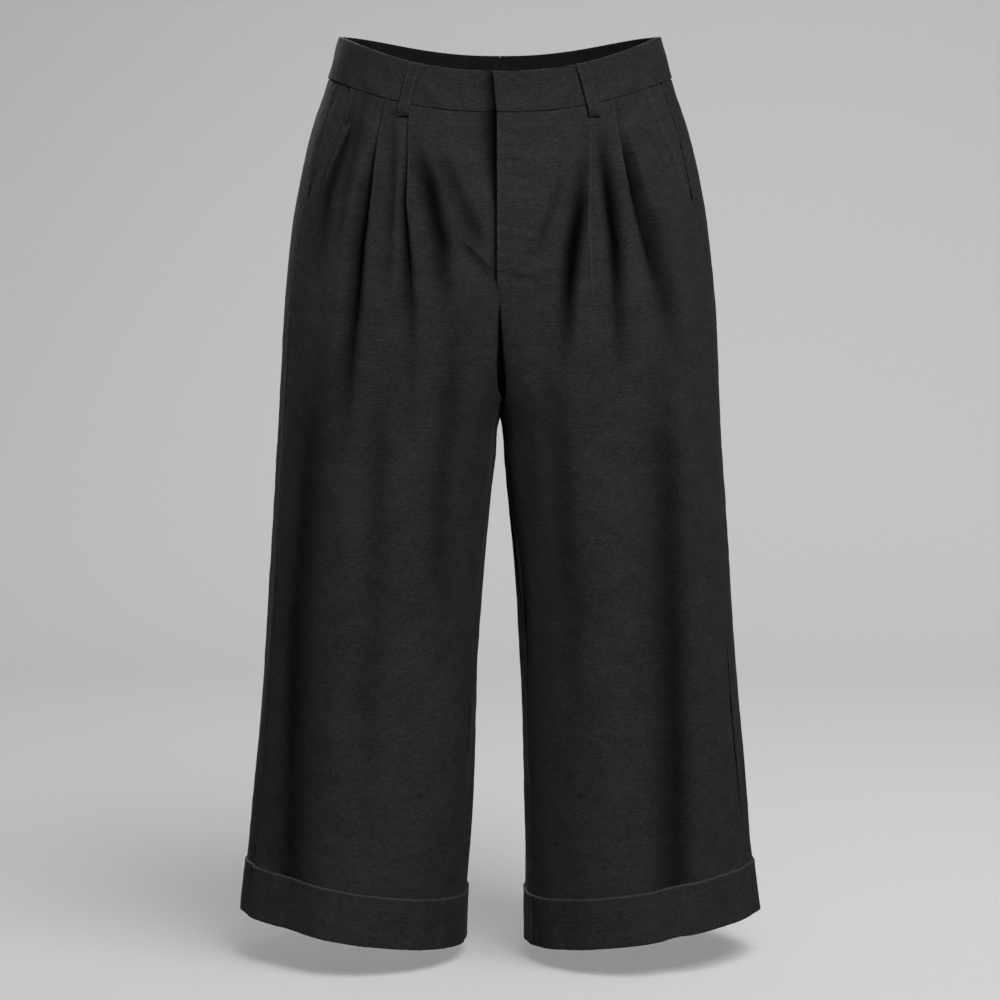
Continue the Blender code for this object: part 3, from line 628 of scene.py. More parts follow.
def pleats_at(side, height, flat_x):
    """Shift along the panel, lift, painted shade in the groove and a painted highlight on the edge from the pleats at
    one level.
    """
    shift = np.zeros(len(flat_x))
    lift = np.zeros(len(flat_x))
    crease = np.zeros(len(flat_x))
    painted_highlight = np.zeros(len(flat_x))
    places = np.array([point.place for point in FOLD]) * FOLD_HALF_WIDTH
    unders = [point.under for point in FOLD]
    drops = [point.drop for point in FOLD]
    for pleat in PLEATS:
        if pleat.side != side:
            continue
        depth = pleat_value(pleat.depth, height) * MM
        under = pleat_value(pleat.under, height) * MM
        reach = pleat_value(pleat.reach, height) * MM
        past = flat_x - pleat_value(pleat.x, height) - pleat_run_on(height)
        soft = pleat_value(pleat.soft, height)
        folded = np.interp(past, places, drops, left=0.0, right=1.0)
        step = (1 - soft) * folded + soft * ease(0.5 + past / (2 * SOFT_SLOPE))
        overhung = OVERHUNG_SHARE * depth
        rise = 1 - ease((past - FOLD_HALF_WIDTH - overhung) / reach)
        lift += -depth * step * rise
        # Painted shade: the cloth in the pleat's groove and just before its edge is darkened towards near black,
        # standing in for the shade there.
        shade = pleat_value(pleat.shade, height)
        wide = pleat_value(pleat.shade_width, height) * MM
        before_edge = (0.6 + 5.0 * soft) * MM
        beyond = np.maximum(past - overhung, 0)
        hollow_shade = np.where(past > 0, bell(beyond, wide), bell(past, before_edge))
        crease = 1 - (1 - crease) * (1 - shade * hollow_shade)
        # Painted highlight: a thin pale line along the pleat's folded edge, standing in for light catching it.
        painted_highlight = np.maximum(painted_highlight, 0.4 * bell(past + HIGHLIGHT_WIDTH, HIGHLIGHT_WIDTH) * (1 - soft) * (height > -0.12))
        lift += 0.07 * depth * np.exp(np.minimum(past, 0) / (5 * MM)) * (past <= 0)
        shift -= under * np.interp(past, places, unders, left=0.0, right=0.0)
    return shift, lift, crease, painted_highlight


def fly_line():
    """The J of the fly's stitching as (height, flat x) points, from the band down to the centre."""
    straight = [(BAND_SEAM, FLY_X + PLACKET_WIDTH), (-0.140, FLY_X + PLACKET_WIDTH)]
    curve = []
    for degrees in range(0, 91, 9):
        turn = math.radians(degrees)
        x = FLY_X + PLACKET_WIDTH * (1 - (1 - math.cos(turn)) ** 1.15)
        curve.append((-0.1440 - FLY_CURVE_HEIGHT * math.sin(turn), x))
    return straight + curve


FLY_LINE = fly_line()


class Panel:
    """The outer face of a front or a back as a grid of points that other pieces can be set on."""

    def __init__(self, side, face):
        self.side, self.face = side, face
        self.turn = SIDES[side] * (1 if face == "front" else -1)
        rows, flat_rows, shifts, edges, starts = [], [], [], [], []
        arcs = []
        for height in LEVELS:
            arc = panel_arc(side, face, height)
            along = front_columns(side, arc, height) if face == "front" else back_columns(arc)
            arcs.append(arc)
            rows.append(along)
            flat_rows.append(along - arc.at_x(GRAIN_X) + GRAIN_X)
            edges.append(along[-1] - along)
            starts.append(along - along[0])
        self.flat_x = np.array(flat_rows)
        self.height = np.repeat(LEVELS[:, None], self.flat_x.shape[1], axis=1)
        to_edge = np.array(edges)
        to_start = np.array(starts)
        lift, shift, self.stitch, self.crease, self.painted_highlight = self.relief(to_start, to_edge)
        points = [
            world_points(side, height, arc, along + s, out)
            for height, arc, along, s, out in zip(LEVELS, arcs, rows, shift, lift)
        ]
        self.points = np.array(points)
        self.normals = grid_normals(self.points, self.turn)

    def relief(self, to_start, to_edge):
        side, face = self.side, self.face
        u, h = self.flat_x, self.height
        seed = 10 * (side == "left") + 20 * (face == "back")
        lift = np.zeros(u.shape)
        shift = np.zeros(u.shape)
        stitch = np.full(u.shape, 0.02)
        crease = np.zeros(u.shape)
        painted_highlight = np.zeros(u.shape)
        for fold in FOLDS:
            if fold.side == side and fold.face == face:
                relief = fold_relief(fold, u, h)
                lift += relief
                # Painted shade: fold troughs are darkened by their depth; narrow ridges get a painted highlight.
                shade = FOLD_SHADE if face == "front" else 0.5 * FOLD_SHADE
                crease = 1 - (1 - crease) * (1 - shade * np.clip(-relief / DEEPEST_FOLD, 0, 1))
                if fold.inner < 2:
                    painted_highlight = np.maximum(painted_highlight, 0.28 * np.clip(relief / (0.9 * MM), 0, 1) ** 2)
        if face == "front":
            for k, height in enumerate(LEVELS):
                shift[k], pleat_lift, groove, highlight_edge = pleats_at(side, height, u[k])
                lift[k] += pleat_lift
                crease[k] = 1 - (1 - crease[k]) * (1 - groove)
                painted_highlight[k] = np.maximum(painted_highlight[k], highlight_edge)
        below_hip = ease((-0.16 - h) / 0.20)
        lift += 0.40 * MM * waves(seed + 1, 9, (0.028, 0.080), (0.18, 0.60), u, h) * (0.35 + below_hip)
        lift += 0.14 * MM * waves(seed + 2, 16, (0.014, 0.040), (0.020, 0.060), u, h)
        lift += 0.05 * MM * waves(seed + 3, 18, (0.006, 0.014), (0.006, 0.016), u, h)
        below_band = BAND_SEAM - h
        gather = 0.32 * MM * waves(seed + 4, 7, (0.008, 0.022), (0.05, 0.10), u, h)
        lift += gather * np.exp(-np.maximum(below_band, 0) / 0.014)
        near_cuff = np.abs(h - CUFF_TOP)
        lift += 0.25 * MM * waves(seed + 5, 7, (0.008, 0.022), (0.05, 0.10), u, h) * bell(near_cuff, 0.012)
        lift -= 0.4 * MM * np.exp(-np.maximum(h - CUFF_TOP, 0) / (1.5 * MM)) * (h > CUFF_TOP - 1e-6)
        lift += seam_shape(to_edge, h, seed + 6)
        fly = np.array([above_fly_end(height) for height in LEVELS])[:, None]
        if (side == "right") == (face == "front"):
            in_the_fly = fly if face == "front" else 0.0
            ramp = (1.6 + 9.0 * in_the_fly) * MM
            joined = (h > CROTCH) * ease(1 - (to_start - UNDER_RUN) / ramp)
            lift -= (UNDER_SINK - 0.3 * MM * (1 - in_the_fly)) * joined
            lift += seam_shape(to_start, h, seed + 7) * (h <= CROTCH)
        elif face == "front":
            signed, _ = line_distance(u, h, FLY_LINE)
            inside = (np.abs(u) < 1) * ease(0.5 - signed / (1.6 * MM))
            inside = inside * (h > FLY_LINE[-1][0] - 0.004)
            ripple = 0.55 * MM * waves(seed + 8, 6, (0.05, 0.12), (0.009, 0.015), u, h)
            lift += (PLACKET_RAISE + ripple) * inside
            edge_roll = np.clip(to_start / (1.0 * MM), 0, 1)
            lift -= 0.7 * MM * (1 - np.sqrt(1 - (1 - edge_roll) ** 2)) * fly
            lift += seam_shape(to_start, h, seed + 7) * (1 - fly)
            stitch = np.where(np.abs(signed) < np.abs(stitch), signed, stitch)
        else:
            lift += seam_shape(to_start, h, seed + 7)
        if face == "front":
            beside_pocket = (h > POCKET_END + 0.004) & (h < BAND_SEAM)
            along_slant = to_edge * 0.93 - POCKET_STITCH_INSET
            stitch = np.where(beside_pocket & (np.abs(along_slant) < 0.012), along_slant, stitch)
            hem_of_pocket = ease(0.5 - along_slant / (1.6 * MM)) * beside_pocket
            lift += 0.45 * MM * hem_of_pocket
        tuck = ease((h - BAND_SEAM + TUCK_HEIGHT) / (1.6 * MM))
        lift -= TUCK_DEPTH * tuck
        if face == "front":
            visible = to_start - (UNDER_RUN if side == "right" else 0.0)
            below_fly = ease((-0.185 - h) / 0.13)
            # Painted shade: near black down the groove between the thighs.
            painted_thigh_shade = np.clip(1.25 - visible / np.maximum(5.0 * MM * below_fly, 1e-6), 0, 1)
            painted_thigh_shade = painted_thigh_shade * (h > CROTCH - 0.02) * (below_fly > 0.02)
            crease = 1 - (1 - crease) * (1 - 0.98 * painted_thigh_shade)
            lift -= 6.0 * MM * below_fly * bell(visible, 5.0 * MM) * (h > CROTCH)
            if side == "right":
                # Painted shadow on the right front beside the left front's overlapping fly edge.
                wide = (2.4 + 9.0 * ease((h + 0.115) / 0.085)) * MM
                painted_fly_shadow = 0.985 * bell(np.maximum(visible, 0), wide) * fly
                crease = 1 - (1 - crease) * (1 - painted_fly_shadow)
            else:
                # Painted highlight along the left front's fly edge.
                painted_highlight = np.maximum(painted_highlight, 0.22 * bell(to_start - 1.0 * MM, 0.8 * MM) * fly)
            # Painted highlight along the pocket's slanted edge.
            painted_highlight = np.maximum(painted_highlight, 0.5 * bell(to_edge - 0.9 * MM, 0.8 * MM) * (h > POCKET_END))
        return lift, shift, stitch, np.clip(crease, 0, 1), painted_highlight

    def at(self, height, flat_x):
        """The point and the normal of the outer face at one place."""
        k = float(np.interp(-height, -LEVELS, np.arange(len(LEVELS))))
        row = min(int(k), len(LEVELS) - 2)
        found = []
        for r in (row, row + 1):
            place = self.flat_x[r]
            point = [np.interp(flat_x, place, self.points[r, :, axis]) for axis in range(3)]
            normal = [np.interp(flat_x, place, self.normals[r, :, axis]) for axis in range(3)]
            found.append(np.array([point, normal]))
        point, normal = found[0] + (found[1] - found[0]) * (k - row)
        return point, normal / np.linalg.norm(normal)

    def slant_x(self, height, inset):
        """Flat x of a line inside the pocket's slanted edge."""
        row = int(np.argmin(np.abs(LEVELS - height)))
        before = min(max(row, 1), len(LEVELS) - 2)
        edge = np.interp(-height, -LEVELS[before - 1 : before + 2], self.flat_x[before - 1 : before + 2, -1])
        return float(edge - inset)

    def make(self, material):
        flat = np.stack([self.flat_x, self.height], axis=-1)
        piece = shell(
            f"{self.face}_{self.side}_cloth", self.points, flat, material, self.turn,
            marks={"stitch": self.stitch, "crease": self.crease, "painted_highlight": self.painted_highlight},
        )
        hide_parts(f"{self.face}_{self.side}")
        return piece


# ---------------------------------------------------------------- cuffs
# The turn-up in section: height below its top edge and distance out of the leg, in millimetres.
CUFF_HEIGHT = (CUFF_TOP - HEM) / MM
CUFF_PROFILE = [
    (0.9, 0.1), (0.2, 0.5), (0.0, 1.0), (0.1, 1.45), (0.5, 1.85), (1.2, 2.0), (2.4, 1.95), (4.0, 1.8),
    (7.0, 1.7), (11.0, 1.7), (16.0, 1.7), (21.0, 1.7), (26.0, 1.7), (31.0, 1.7), (36.0, 1.7),
    (41.0, 1.7), (44.5, 1.75), (46.6, 1.8), (47.5, 1.6), (CUFF_HEIGHT, 1.0), (CUFF_HEIGHT, 0.1),
    (47.6, -0.6), (46.6, -1.1), (44.0, -1.3), (40.0, -1.2),
]


def make_cuff(side, front, back, material):
    rows = []
    flat_rows = []
    highlight_rows = []
    base_front = front.at_level
    base_back = back.at_level
    for down, out in CUFF_PROFILE:
        height = CUFF_TOP - down * MM
        ring = []
        flat = []
        for panel in (base_front, base_back):
            points, normals, flat_x = panel(height)
            pucker = waves(31 + SIDES[side], 9, (0.007, 0.030), (0.06, 0.15), flat_x, np.full(len(flat_x), height))
            strength = 0.10 + 0.24 * math.exp(-abs(down - 6) / 9) + 0.14 * math.exp(-abs(down - 44) / 6)
            total = (out + strength * pucker) * MM if out > 0.3 else np.full(len(flat_x), out * MM)
            points = points + normals * total[:, None]
            if panel is base_back:
                points, flat_x = points[::-1], -flat_x[::-1] + 0.62
            ring.append(points)
            flat.append(np.column_stack([flat_x, np.full(len(flat_x), height)]))
        ring.append(ring[0][:1])
        flat.append(flat[0][:1] + (0.6, 0.0))
        rows.append(np.vstack(ring))
        flat_rows.append(np.vstack(flat))
        # Painted highlight along the cuff's top fold.
        highlight_rows.append(np.full(len(rows[-1]), 0.7 * math.exp(-((down - 0.3) ** 2)) if out > 0.3 else 0.0))
    piece = shell(
        f"cuff_{side}_cloth", np.array(rows), np.array(flat_rows), material, SIDES[side], 0.5 * MM,
        marks={"painted_highlight": np.array(highlight_rows)},
    )
    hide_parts(f"cuff_{side}")
    return piece


def panel_level(self, height):
    """Points, level normals and flat x across a panel at one height, without its edge dips."""
    k = float(np.interp(-height, -LEVELS, np.arange(len(LEVELS))))
    row = min(int(k), len(LEVELS) - 2)
    t = k - row
    points = self.points[row] * (1 - t) + self.points[row + 1] * t
    flat_x = self.flat_x[row] * (1 - t) + self.flat_x[row + 1] * t
    along = np.gradient(points[:, :2], axis=0)
    size = np.hypot(along[:, 0], along[:, 1])[:, None]
    level = np.column_stack([along[:, 1], -along[:, 0], np.zeros(len(points))]) / size
    dip = seam_shape(self.flat_x[row, -1] - self.flat_x[row], np.full(len(points), 9.0), 0)
    inner_dip = -SEAM_DIP * np.exp(-(((self.flat_x[row] - self.flat_x[row, 0]) / SEAM_DIP_WIDTH) ** 1.5))
    outer_dip = -SEAM_DIP * np.exp(-(((self.flat_x[row, -1] - self.flat_x[row]) / SEAM_DIP_WIDTH) ** 1.5))
    level = level * self.turn
    points = points - level * (inner_dip + outer_dip)[:, None]
    return points[2:-2], level[2:-2], flat_x[2:-2]


Panel.at_level = panel_level


# ---------------------------------------------------------------- waistband
# The band in section: share of its height from the seam up, and distance out, in millimetres.
BAND_PROFILE = (
    [(0.004, -1.6), (0.000, -0.6), (0.002, 0.2), (0.010, 0.75), (0.028, 1.0)]
    + [(share, 1.0 + 0.25 * math.sin(math.pi * share)) for share in np.linspace(0.06, 0.94, 17)]
    + [(0.972, 1.0), (0.990, 0.75), (0.999, 0.2), (1.000, -0.7), (0.992, -1.5), (0.970, -1.9)]
    + [(share, -2.0) for share in np.linspace(0.90, 0.10, 7)]
    + [(0.030, -1.95)]
)


# The worn rim stands a little above the solid's, except at the centre front.
RIM_LIFT = 2.0 * MM
# Painted shade: how dark the band's inner face is painted.
INNER_BAND_SHADE = 0.62
BESIDE_OVERLAP = 3.0 * MM


def band_arc(side, height, front_limit):
    first = cut_angle(side, height, "front", front_limit)
    last = cut_angle(side, height, "back", SEAM_GAP / 2)
    return Arc(side, height, first, last)


def under_band_depth(x, before):
    """How far the right band goes in behind the left one near the centre."""
    start, end = UNDERLAP_RAMP
    return -UNDERLAP_DEPTH * ease((start - x) / (start - end)) * before


def make_band(side, material):
    count = 240
    shares = np.linspace(0, 1, count)
    shares[:12] = np.linspace(0, 0.0045, 12)
    shares[12:] = np.linspace(0.0045, 1, count - 12 + 1)[1:]
    columns = []
    flat_columns = []
    shades = []
    for number, (share, out) in enumerate(BAND_PROFILE + BAND_PROFILE[:1]):
        height = BAND_SEAM + (RIM - BAND_SEAM) * share
        t = (RIM - height) / (RIM - BAND_SEAM)
        if side == "left":
            limit = OVERLAP_TOP_X + (OVERLAP_SEAM_X - OVERLAP_TOP_X) * t
        else:
            limit = -UNDERLAP_LENGTH
        arc = band_arc(side, height, limit)
        along = arc.length * shares
        x, _ = arc.read(along, 0.0)
        before = np.arange(count) < count / 2
        flat_x = along - arc.at_x(GRAIN_X) + GRAIN_X
        h = np.full(count, height)
        soft = 0.30 * waves(41 + SIDES[side], 10, (0.020, 0.070), (0.020, 0.060), flat_x, h)
        seam = 0.22 * waves(43 + SIDES[side], 9, (0.007, 0.020), (0.05, 0.09), flat_x, h)
        shape = soft + seam * (math.exp(-share * 4) + 0.6 * math.exp(-(1 - share) * 5))
        total = (out + (shape if out > 0.5 else 0.0)) * np.ones(count)
        end = np.sqrt(1 - (1 - np.clip(along / (1.3 * MM), 0, 1)) ** 2)
        total = -0.5 + (total + 0.5) * (0.25 + 0.75 * end)
        lift = total * MM
        if side == "right":
            lift = lift + under_band_depth(x, before)
        else:
            lift = lift + 1.3 * MM * np.exp(-along / 0.022)
        ring = world_points(side, height, arc, along, lift)
        _, y = arc.read(along, 0.0)
        front = section_value("front", height)
        ring[:, 2] += RIM_LIFT * share * (1 - np.clip(-y / front, 0, 1) ** FRONT_DIP_POWER)
        columns.append(ring)
        # Painted shade on the band's inner face.
        shade = np.full(count, INNER_BAND_SHADE if out < -1.0 else 0.0)
        if side == "right":
            # Painted shadow on the right band where the left band overlaps it.
            shade = np.maximum(shade, 0.92 * bell(np.maximum(x - BESIDE_OVERLAP, 0), 9 * MM) * before)
        shades.append(shade)
        flat_columns.append(np.column_stack([flat_x, h + 0.0001 * number * (out < 0)]))
    points = np.array(columns).transpose(1, 0, 2)
    flat = np.array(flat_columns).transpose(1, 0, 2)
    marks = {"crease": np.array(shades).T}
    piece = tube(f"waistband_{side}_cloth", points, flat, material, SIDES[side], marks=marks)
    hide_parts(f"waistband_{side}")
    return piece


# ---------------------------------------------------------------- belt loops
# A loop in section: place across it, from -1 to 1, and distance above its underside, millimetres.
LOOP_PROFILE = [
    (-0.90, 0.0), (-0.98, 0.25), (-1.00, 0.8), (-0.98, 1.3), (-0.92, 1.7), (-0.84, 1.8), (-0.76, 1.62),
    (-0.70, 1.5), (-0.62, 1.62), (-0.50, 1.8), (-0.25, 1.85), (0.0, 1.85), (0.25, 1.85), (0.50, 1.8),
    (0.62, 1.62), (0.70, 1.5), (0.76, 1.62), (0.84, 1.8), (0.92, 1.7), (0.98, 1.3), (1.00, 0.8),
    (0.98, 0.25), (0.90, 0.0), (0.0, 0.0),
]


def loop_frames(loop, count=48):
    """Middle, across and outward directions down a belt loop's underside."""
    sign = SIDES[loop.side]
    places = np.linspace(0, 1, count)
    heights = [RIM - (RIM - LOOP_END) * t for t in places]
    path_heights = [point.height for point in LOOP_PATH]
    stands = [point.stand_off for point in LOOP_PATH]
    found = []
    for t, height in zip(places, heights):
        x = loop.top_x + (loop.end_x - loop.top_x) * t
        stand = smooth_through(path_heights, stands, height)
        arc = panel_arc(loop.side, loop.face, height)
        along = arc.at_x(max(x, SEAM_GAP / 2))
        middle = world_points(loop.side, height, arc, along, 0.0011 + stand)[0]
        ahead = world_points(loop.side, height, arc, along + 0.001, 0.0006)[0]
        behind = world_points(loop.side, height, arc, along, 0.0006)[0]
        across = ahead - behind
        across[2] = 0.0
        across /= np.linalg.norm(across)
        if x <= 0:
            middle[0] = 0.0
        found.append((middle, across))
    middles = np.array([m for m, _ in found])
    acrosses = np.array([a for _, a in found])
    down = np.gradient(middles, axis=0)
    down /= np.linalg.norm(down, axis=1, keepdims=True)
    turn = sign * (1 if loop.face == "front" else -1)
    out = turn * np.cross(down, acrosses)
    out /= np.linalg.norm(out, axis=1, keepdims=True)
    return middles, acrosses, out, turn


def make_belt_loop(loop, number, cloth, thread):
    middles, acrosses, out, turn = loop_frames(loop)
    rows = []
    flat = []
    profile = LOOP_PROFILE + LOOP_PROFILE[:1]
    for k, (middle, across, outward) in enumerate(zip(middles, acrosses, out)):
        from_end = min(k, len(middles) - 1 - k)
        fullness = (0.55, 0.8, 0.94)[from_end] if from_end < 3 else 1.0
        wobble = 0.12 * math.sin(k * 0.9 + number) * math.sin(k * 0.31 + 2 * number)
        row = []
        flat_row = []
        for n, (place, high) in enumerate(profile):
            wide = place * LOOP_WIDTH / 2
            high_mm = high * fullness + (wobble if high > 1.2 else 0.0)
            row.append(middle + across * wide + outward * high_mm * MM)
            flat_row.append((0.3 * number + wide + (0.012 if high < 0.1 else 0), -0.0011 * k))
        rows.append(row)
        flat.append(flat_row)
    points = np.array(rows)
    piece = tube(f"{loop.name}_cloth", points, np.array(flat), cloth, turn)
    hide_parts(loop.name)
    stitches = []
    for place in (-0.70, 0.70):
        path = middles + acrosses * place * LOOP_WIDTH / 2 + out * 1.55 * MM
        stitches.append((path, out))
    return piece, stitches


# ---------------------------------------------------------------- stitches
STITCH_PITCH = 2.5 * MM
STITCH_LENGTH = 1.9 * MM
STITCH_RADIUS = 0.22 * MM
STITCH_SIDES = 6
STITCH_SECTION = [(-0.50, 0.15), (-0.36, 0.85), (-0.12, 1.0), (0.12, 1.0), (0.36, 0.85), (0.50, 0.15)]


def make_stitches(name, runs, material, inset=0.05 * MM):
    """Short threads in a row along each run of points; they dip into the cloth at both ends."""
    points = []
    faces = []
    for path, normals in runs:
        steps = np.linalg.norm(np.diff(path, axis=0), axis=1)
        along = np.concatenate([[0.0], np.cumsum(steps)])
        for start in np.arange(STITCH_PITCH / 2, along[-1] - STITCH_PITCH / 2, STITCH_PITCH):
            middle = np.array([np.interp(start, along, path[:, a]) for a in range(3)])
            ahead = np.array([np.interp(start + 0.5 * MM, along, path[:, a]) for a in range(3)])
            out = np.array([np.interp(start, along, normals[:, a]) for a in range(3)])
            along_way = (ahead - middle) / np.linalg.norm(ahead - middle)
            out = out - along_way * out.dot(along_way)
            out /= np.linalg.norm(out)
            across = np.cross(along_way, out)
            base = len(points)
            for share, fat in STITCH_SECTION:
                centre = middle + along_way * share * STITCH_LENGTH + out * (fat * STITCH_RADIUS * 0.6 - inset)
                for side in range(STITCH_SIDES):
                    turn = 2 * math.pi * side / STITCH_SIDES
                    ring = across * math.cos(turn) + out * math.sin(turn)
                    points.append(centre + ring * fat * STITCH_RADIUS)
            rings = len(STITCH_SECTION)
            for r in range(rings - 1):
                for s in range(STITCH_SIDES):
                    a = base + r * STITCH_SIDES + s
                    b = base + r * STITCH_SIDES + (s + 1) % STITCH_SIDES
                    faces.append((a, b, b + STITCH_SIDES, a + STITCH_SIDES))
            faces.append(tuple(base + s for s in reversed(range(STITCH_SIDES))))
            last = base + (rings - 1) * STITCH_SIDES
            faces.append(tuple(last + s for s in range(STITCH_SIDES)))
    points = np.array(points)
    flat = points[:, [0, 2]]
    piece = make_piece(name, points, ListOfFaces(faces), flat, material)
    return piece


def run_on_panel(panel, line, step=1.0 * MM):
    """Points and normals along a line of (height, flat x) points on a panel's face."""
    line = np.array(line)
    lengths = np.concatenate([[0.0], np.cumsum(np.hypot(*np.diff(line, axis=0).T))])
    places = np.arange(0, lengths[-1], step)
    found = [
        panel.at(np.interp(p, lengths, line[:, 0]), np.interp(p, lengths, line[:, 1])) for p in places
    ]
    return np.array([point for point, _ in found]), np.array([normal for _, normal in found])


# ---------------------------------------------------------------- inner pieces
FACING_DEPTH = 2.2 * MM
ZIP_DEPTH = 5.3 * MM
SHIELD_DEPTH = 6.4 * MM
INNER_TOP = BAND_SEAM - 0.0015
POCKET_PANEL_DEPTH = 2.2 * MM
POCKET_PANEL_END = -0.1400
POCKET_UNDERLAP = 0.0120


def front_strip(heights, inner_x, outer_x, columns, out):
    """Rows across the left front between two x values, which may lie past the centre line."""
    rows = []
    flat = []
    for height in heights:
        first = cut_angle("left", height, "front", inner_x)
        arc = Arc("left", height, first, SIDE_SEAM_ANGLE)
        outer = outer_x(height) if callable(outer_x) else outer_x
        along = np.linspace(0.0, arc.at_x(outer), columns)
        h = np.full(columns, height)
        soft = 0.15 * MM * waves(61, 6, (0.012, 0.040), (0.020, 0.060), along, h)
        rows.append(world_points("left", height, arc, along, out + soft))
        flat.append(np.column_stack([along + inner_x, h]))
    return np.array(rows), np.array(flat)


def fly_edge(height):
    """x of the fly's curved outer edge: upright, then a quarter ellipse down to the centre."""
    below = (FLY_END + 0.0260 - height) / 0.0260
    return 0.0330 * math.sqrt(max(1 - max(below, 0.0) ** 2, 0.04))


def make_inner_pieces(cloth, tape):
    made = []
    levels = np.linspace(INNER_TOP, FLY_END + 0.0006, 60)
    points, flat = front_strip(levels, FLY_X + SEAM_GAP, fly_edge, 22, -FACING_DEPTH)
    made.append((shell("fly_facing_cloth", points, flat, cloth, 1, 0.8 * MM), "fly_facing"))
    levels = np.linspace(BAND_SEAM - 0.0011, FLY_END, 60)
    points, flat = front_strip(levels, -0.0120, 0.0340, 26, -SHIELD_DEPTH)
    made.append((shell("fly_shield_cloth", points, flat, cloth, 1, 1.0 * MM), "fly_shield"))
    levels = np.linspace(INNER_TOP, -0.1520, 60)
    points, flat = front_strip(levels, -0.0100, 0.0140, 16, -ZIP_DEPTH)
    made.append((shell("zip_tape_cloth", points, flat, tape, 1, 0.6 * MM), "zip_tape"))
    for piece, node in made:
        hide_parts(node)
    return [piece for piece, _ in made]


def make_zip_teeth(material):
    """Interlocking teeth down the middle of the zip tape, left and right in turn."""
    box_faces = [(0, 1, 3, 2), (4, 6, 7, 5), (0, 4, 5, 1), (2, 3, 7, 6), (0, 2, 6, 4), (1, 5, 7, 3)]
    points = []
    faces = []
    for number, height in enumerate(np.arange(-0.0300, -0.1500, -0.0011)):
        arc = Arc("left", height, cut_angle("left", height, "front", -0.0100), SIDE_SEAM_ANGLE)
        middle = arc.at_x(0.0020) + (0.35 if number % 2 else -0.35) * MM
        base = len(points)
        for rise in (-0.4 * MM, 0.4 * MM):
            for wide in (-1.1 * MM, 1.1 * MM):
                for out in (-ZIP_DEPTH - 0.1 * MM, -ZIP_DEPTH + 0.7 * MM):
                    points.append(world_points("left", height + rise, arc, middle + wide, out)[0])
        faces.extend(tuple(base + corner for corner in face) for face in box_faces)
    points = np.array(points)
    piece = make_piece("zip_teeth", points, ListOfFaces(faces), points[:, [0, 2]], material)
    return piece


def make_pocket_panel(side, cloth):
    rows = []
    flat = []
    for height in np.concatenate([[BAND_SEAM + 0.0020, BAND_SEAM], np.linspace(INNER_TOP, POCKET_PANEL_END, 62)]):
        arc = panel_arc(side, "front", height)
        edge = pocket_edge(arc, max(height, POCKET_END + 0.012))
        last = arc.length - SEAM_GAP / 2
        along = np.linspace(edge - POCKET_UNDERLAP, last, 26)
        h = np.full(26, height)
        soft = 0.25 * MM * waves(71 + SIDES[side], 8, (0.012, 0.040), (0.020, 0.060), along, h)
        out = -POCKET_PANEL_DEPTH + soft + 1.7 * MM * ease((along - edge - 0.001) / 0.008)
        out = out - SEAM_DIP * np.exp(-(((last - along) / SEAM_DIP_WIDTH) ** 1.5))
        out = out - 0.8 * MM * (height > BAND_SEAM - 0.0016)
        rows.append(world_points(side, height, arc, along, out))
        flat.append(np.column_stack([along, h]))
    piece = shell(f"pocket_panel_{side}_cloth", np.array(rows), np.array(flat), cloth, SIDES[side])
    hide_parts(f"pocket_panel_{side}")
    return piece


# ---------------------------------------------------------------- materials
class Nodes:
    """Short names for building a material's nodes."""

    def __init__(self, name):
        self.material = bpy.data.materials.new(name)
        self.material.use_nodes = True
        self.tree = self.material.node_tree
        self.shader = self.tree.nodes["Principled BSDF"]

    def add(self, kind, inputs=(), **settings):
        node = self.tree.nodes.new(kind)
        for setting, value in settings.items():
            setattr(node, setting, value)
        for socket, value in dict(inputs).items():
            self.set(node, socket, value)
        return node

    def set(self, node, socket, value):
        if isinstance(value, bpy.types.NodeSocket):
            self.tree.links.new(value, node.inputs[socket])
        else:
            node.inputs[socket].default_value = value

    def scaled(self, vector, scale):
        node = self.add("ShaderNodeVectorMath", {0: vector, 1: scale}, operation="MULTIPLY")
        return node.outputs[0]

    def noise(self, vector, scale, detail=2.0, roughness=0.5, distortion=0.0):
        inputs = {
            "Vector": self.scaled(vector, scale),
            "Scale": 1.0,
            "Detail": detail,
            "Roughness": roughness,
            "Distortion": distortion,
        }
        return self.add("ShaderNodeTexNoise", inputs).outputs[0]

    def math(self, operation, a, b=0.0, c=0.0):
        return self.add("ShaderNodeMath", {0: a, 1: b, 2: c}, operation=operation).outputs[0]

    def weigh(self, parts):
        """The sum of value x weight."""
        total = self.math("MULTIPLY", *parts[0])
        for value, weight in parts[1:]:
            total = self.math("MULTIPLY_ADD", value, weight, total)
        return total

    def remap(self, value, low, high, to_low=0.0, to_high=1.0):
        inputs = {0: value, 1: low, 2: high, 3: to_low, 4: to_high}
        return self.add("ShaderNodeMapRange", inputs).outputs[0]

    def mix(self, factor, a, b):
        node = self.add("ShaderNodeMix", data_type="RGBA")
        self.set(node, 0, factor)
        self.set(node, 6, a)
        self.set(node, 7, b)
        return node.outputs[2]

    def finish(self, colour, height, bump_distance, roughness, **constants):
        bump = self.add("ShaderNodeBump", {"Height": height, "Distance": bump_distance})
        self.set(self.shader, "Base Color", colour)
        self.set(self.shader, "Normal", bump.outputs[0])
        self.set(self.shader, "Roughness", roughness)
        for socket, value in constants.items():
            self.set(self.shader, socket.replace("_", " "), value)
        return self.material


# Painted shade colour: near black, mixed into the cloth where shade in grooves and folds is painted.
SHADED_CLOTH = (0.0006, 0.0006, 0.0007, 1.0)


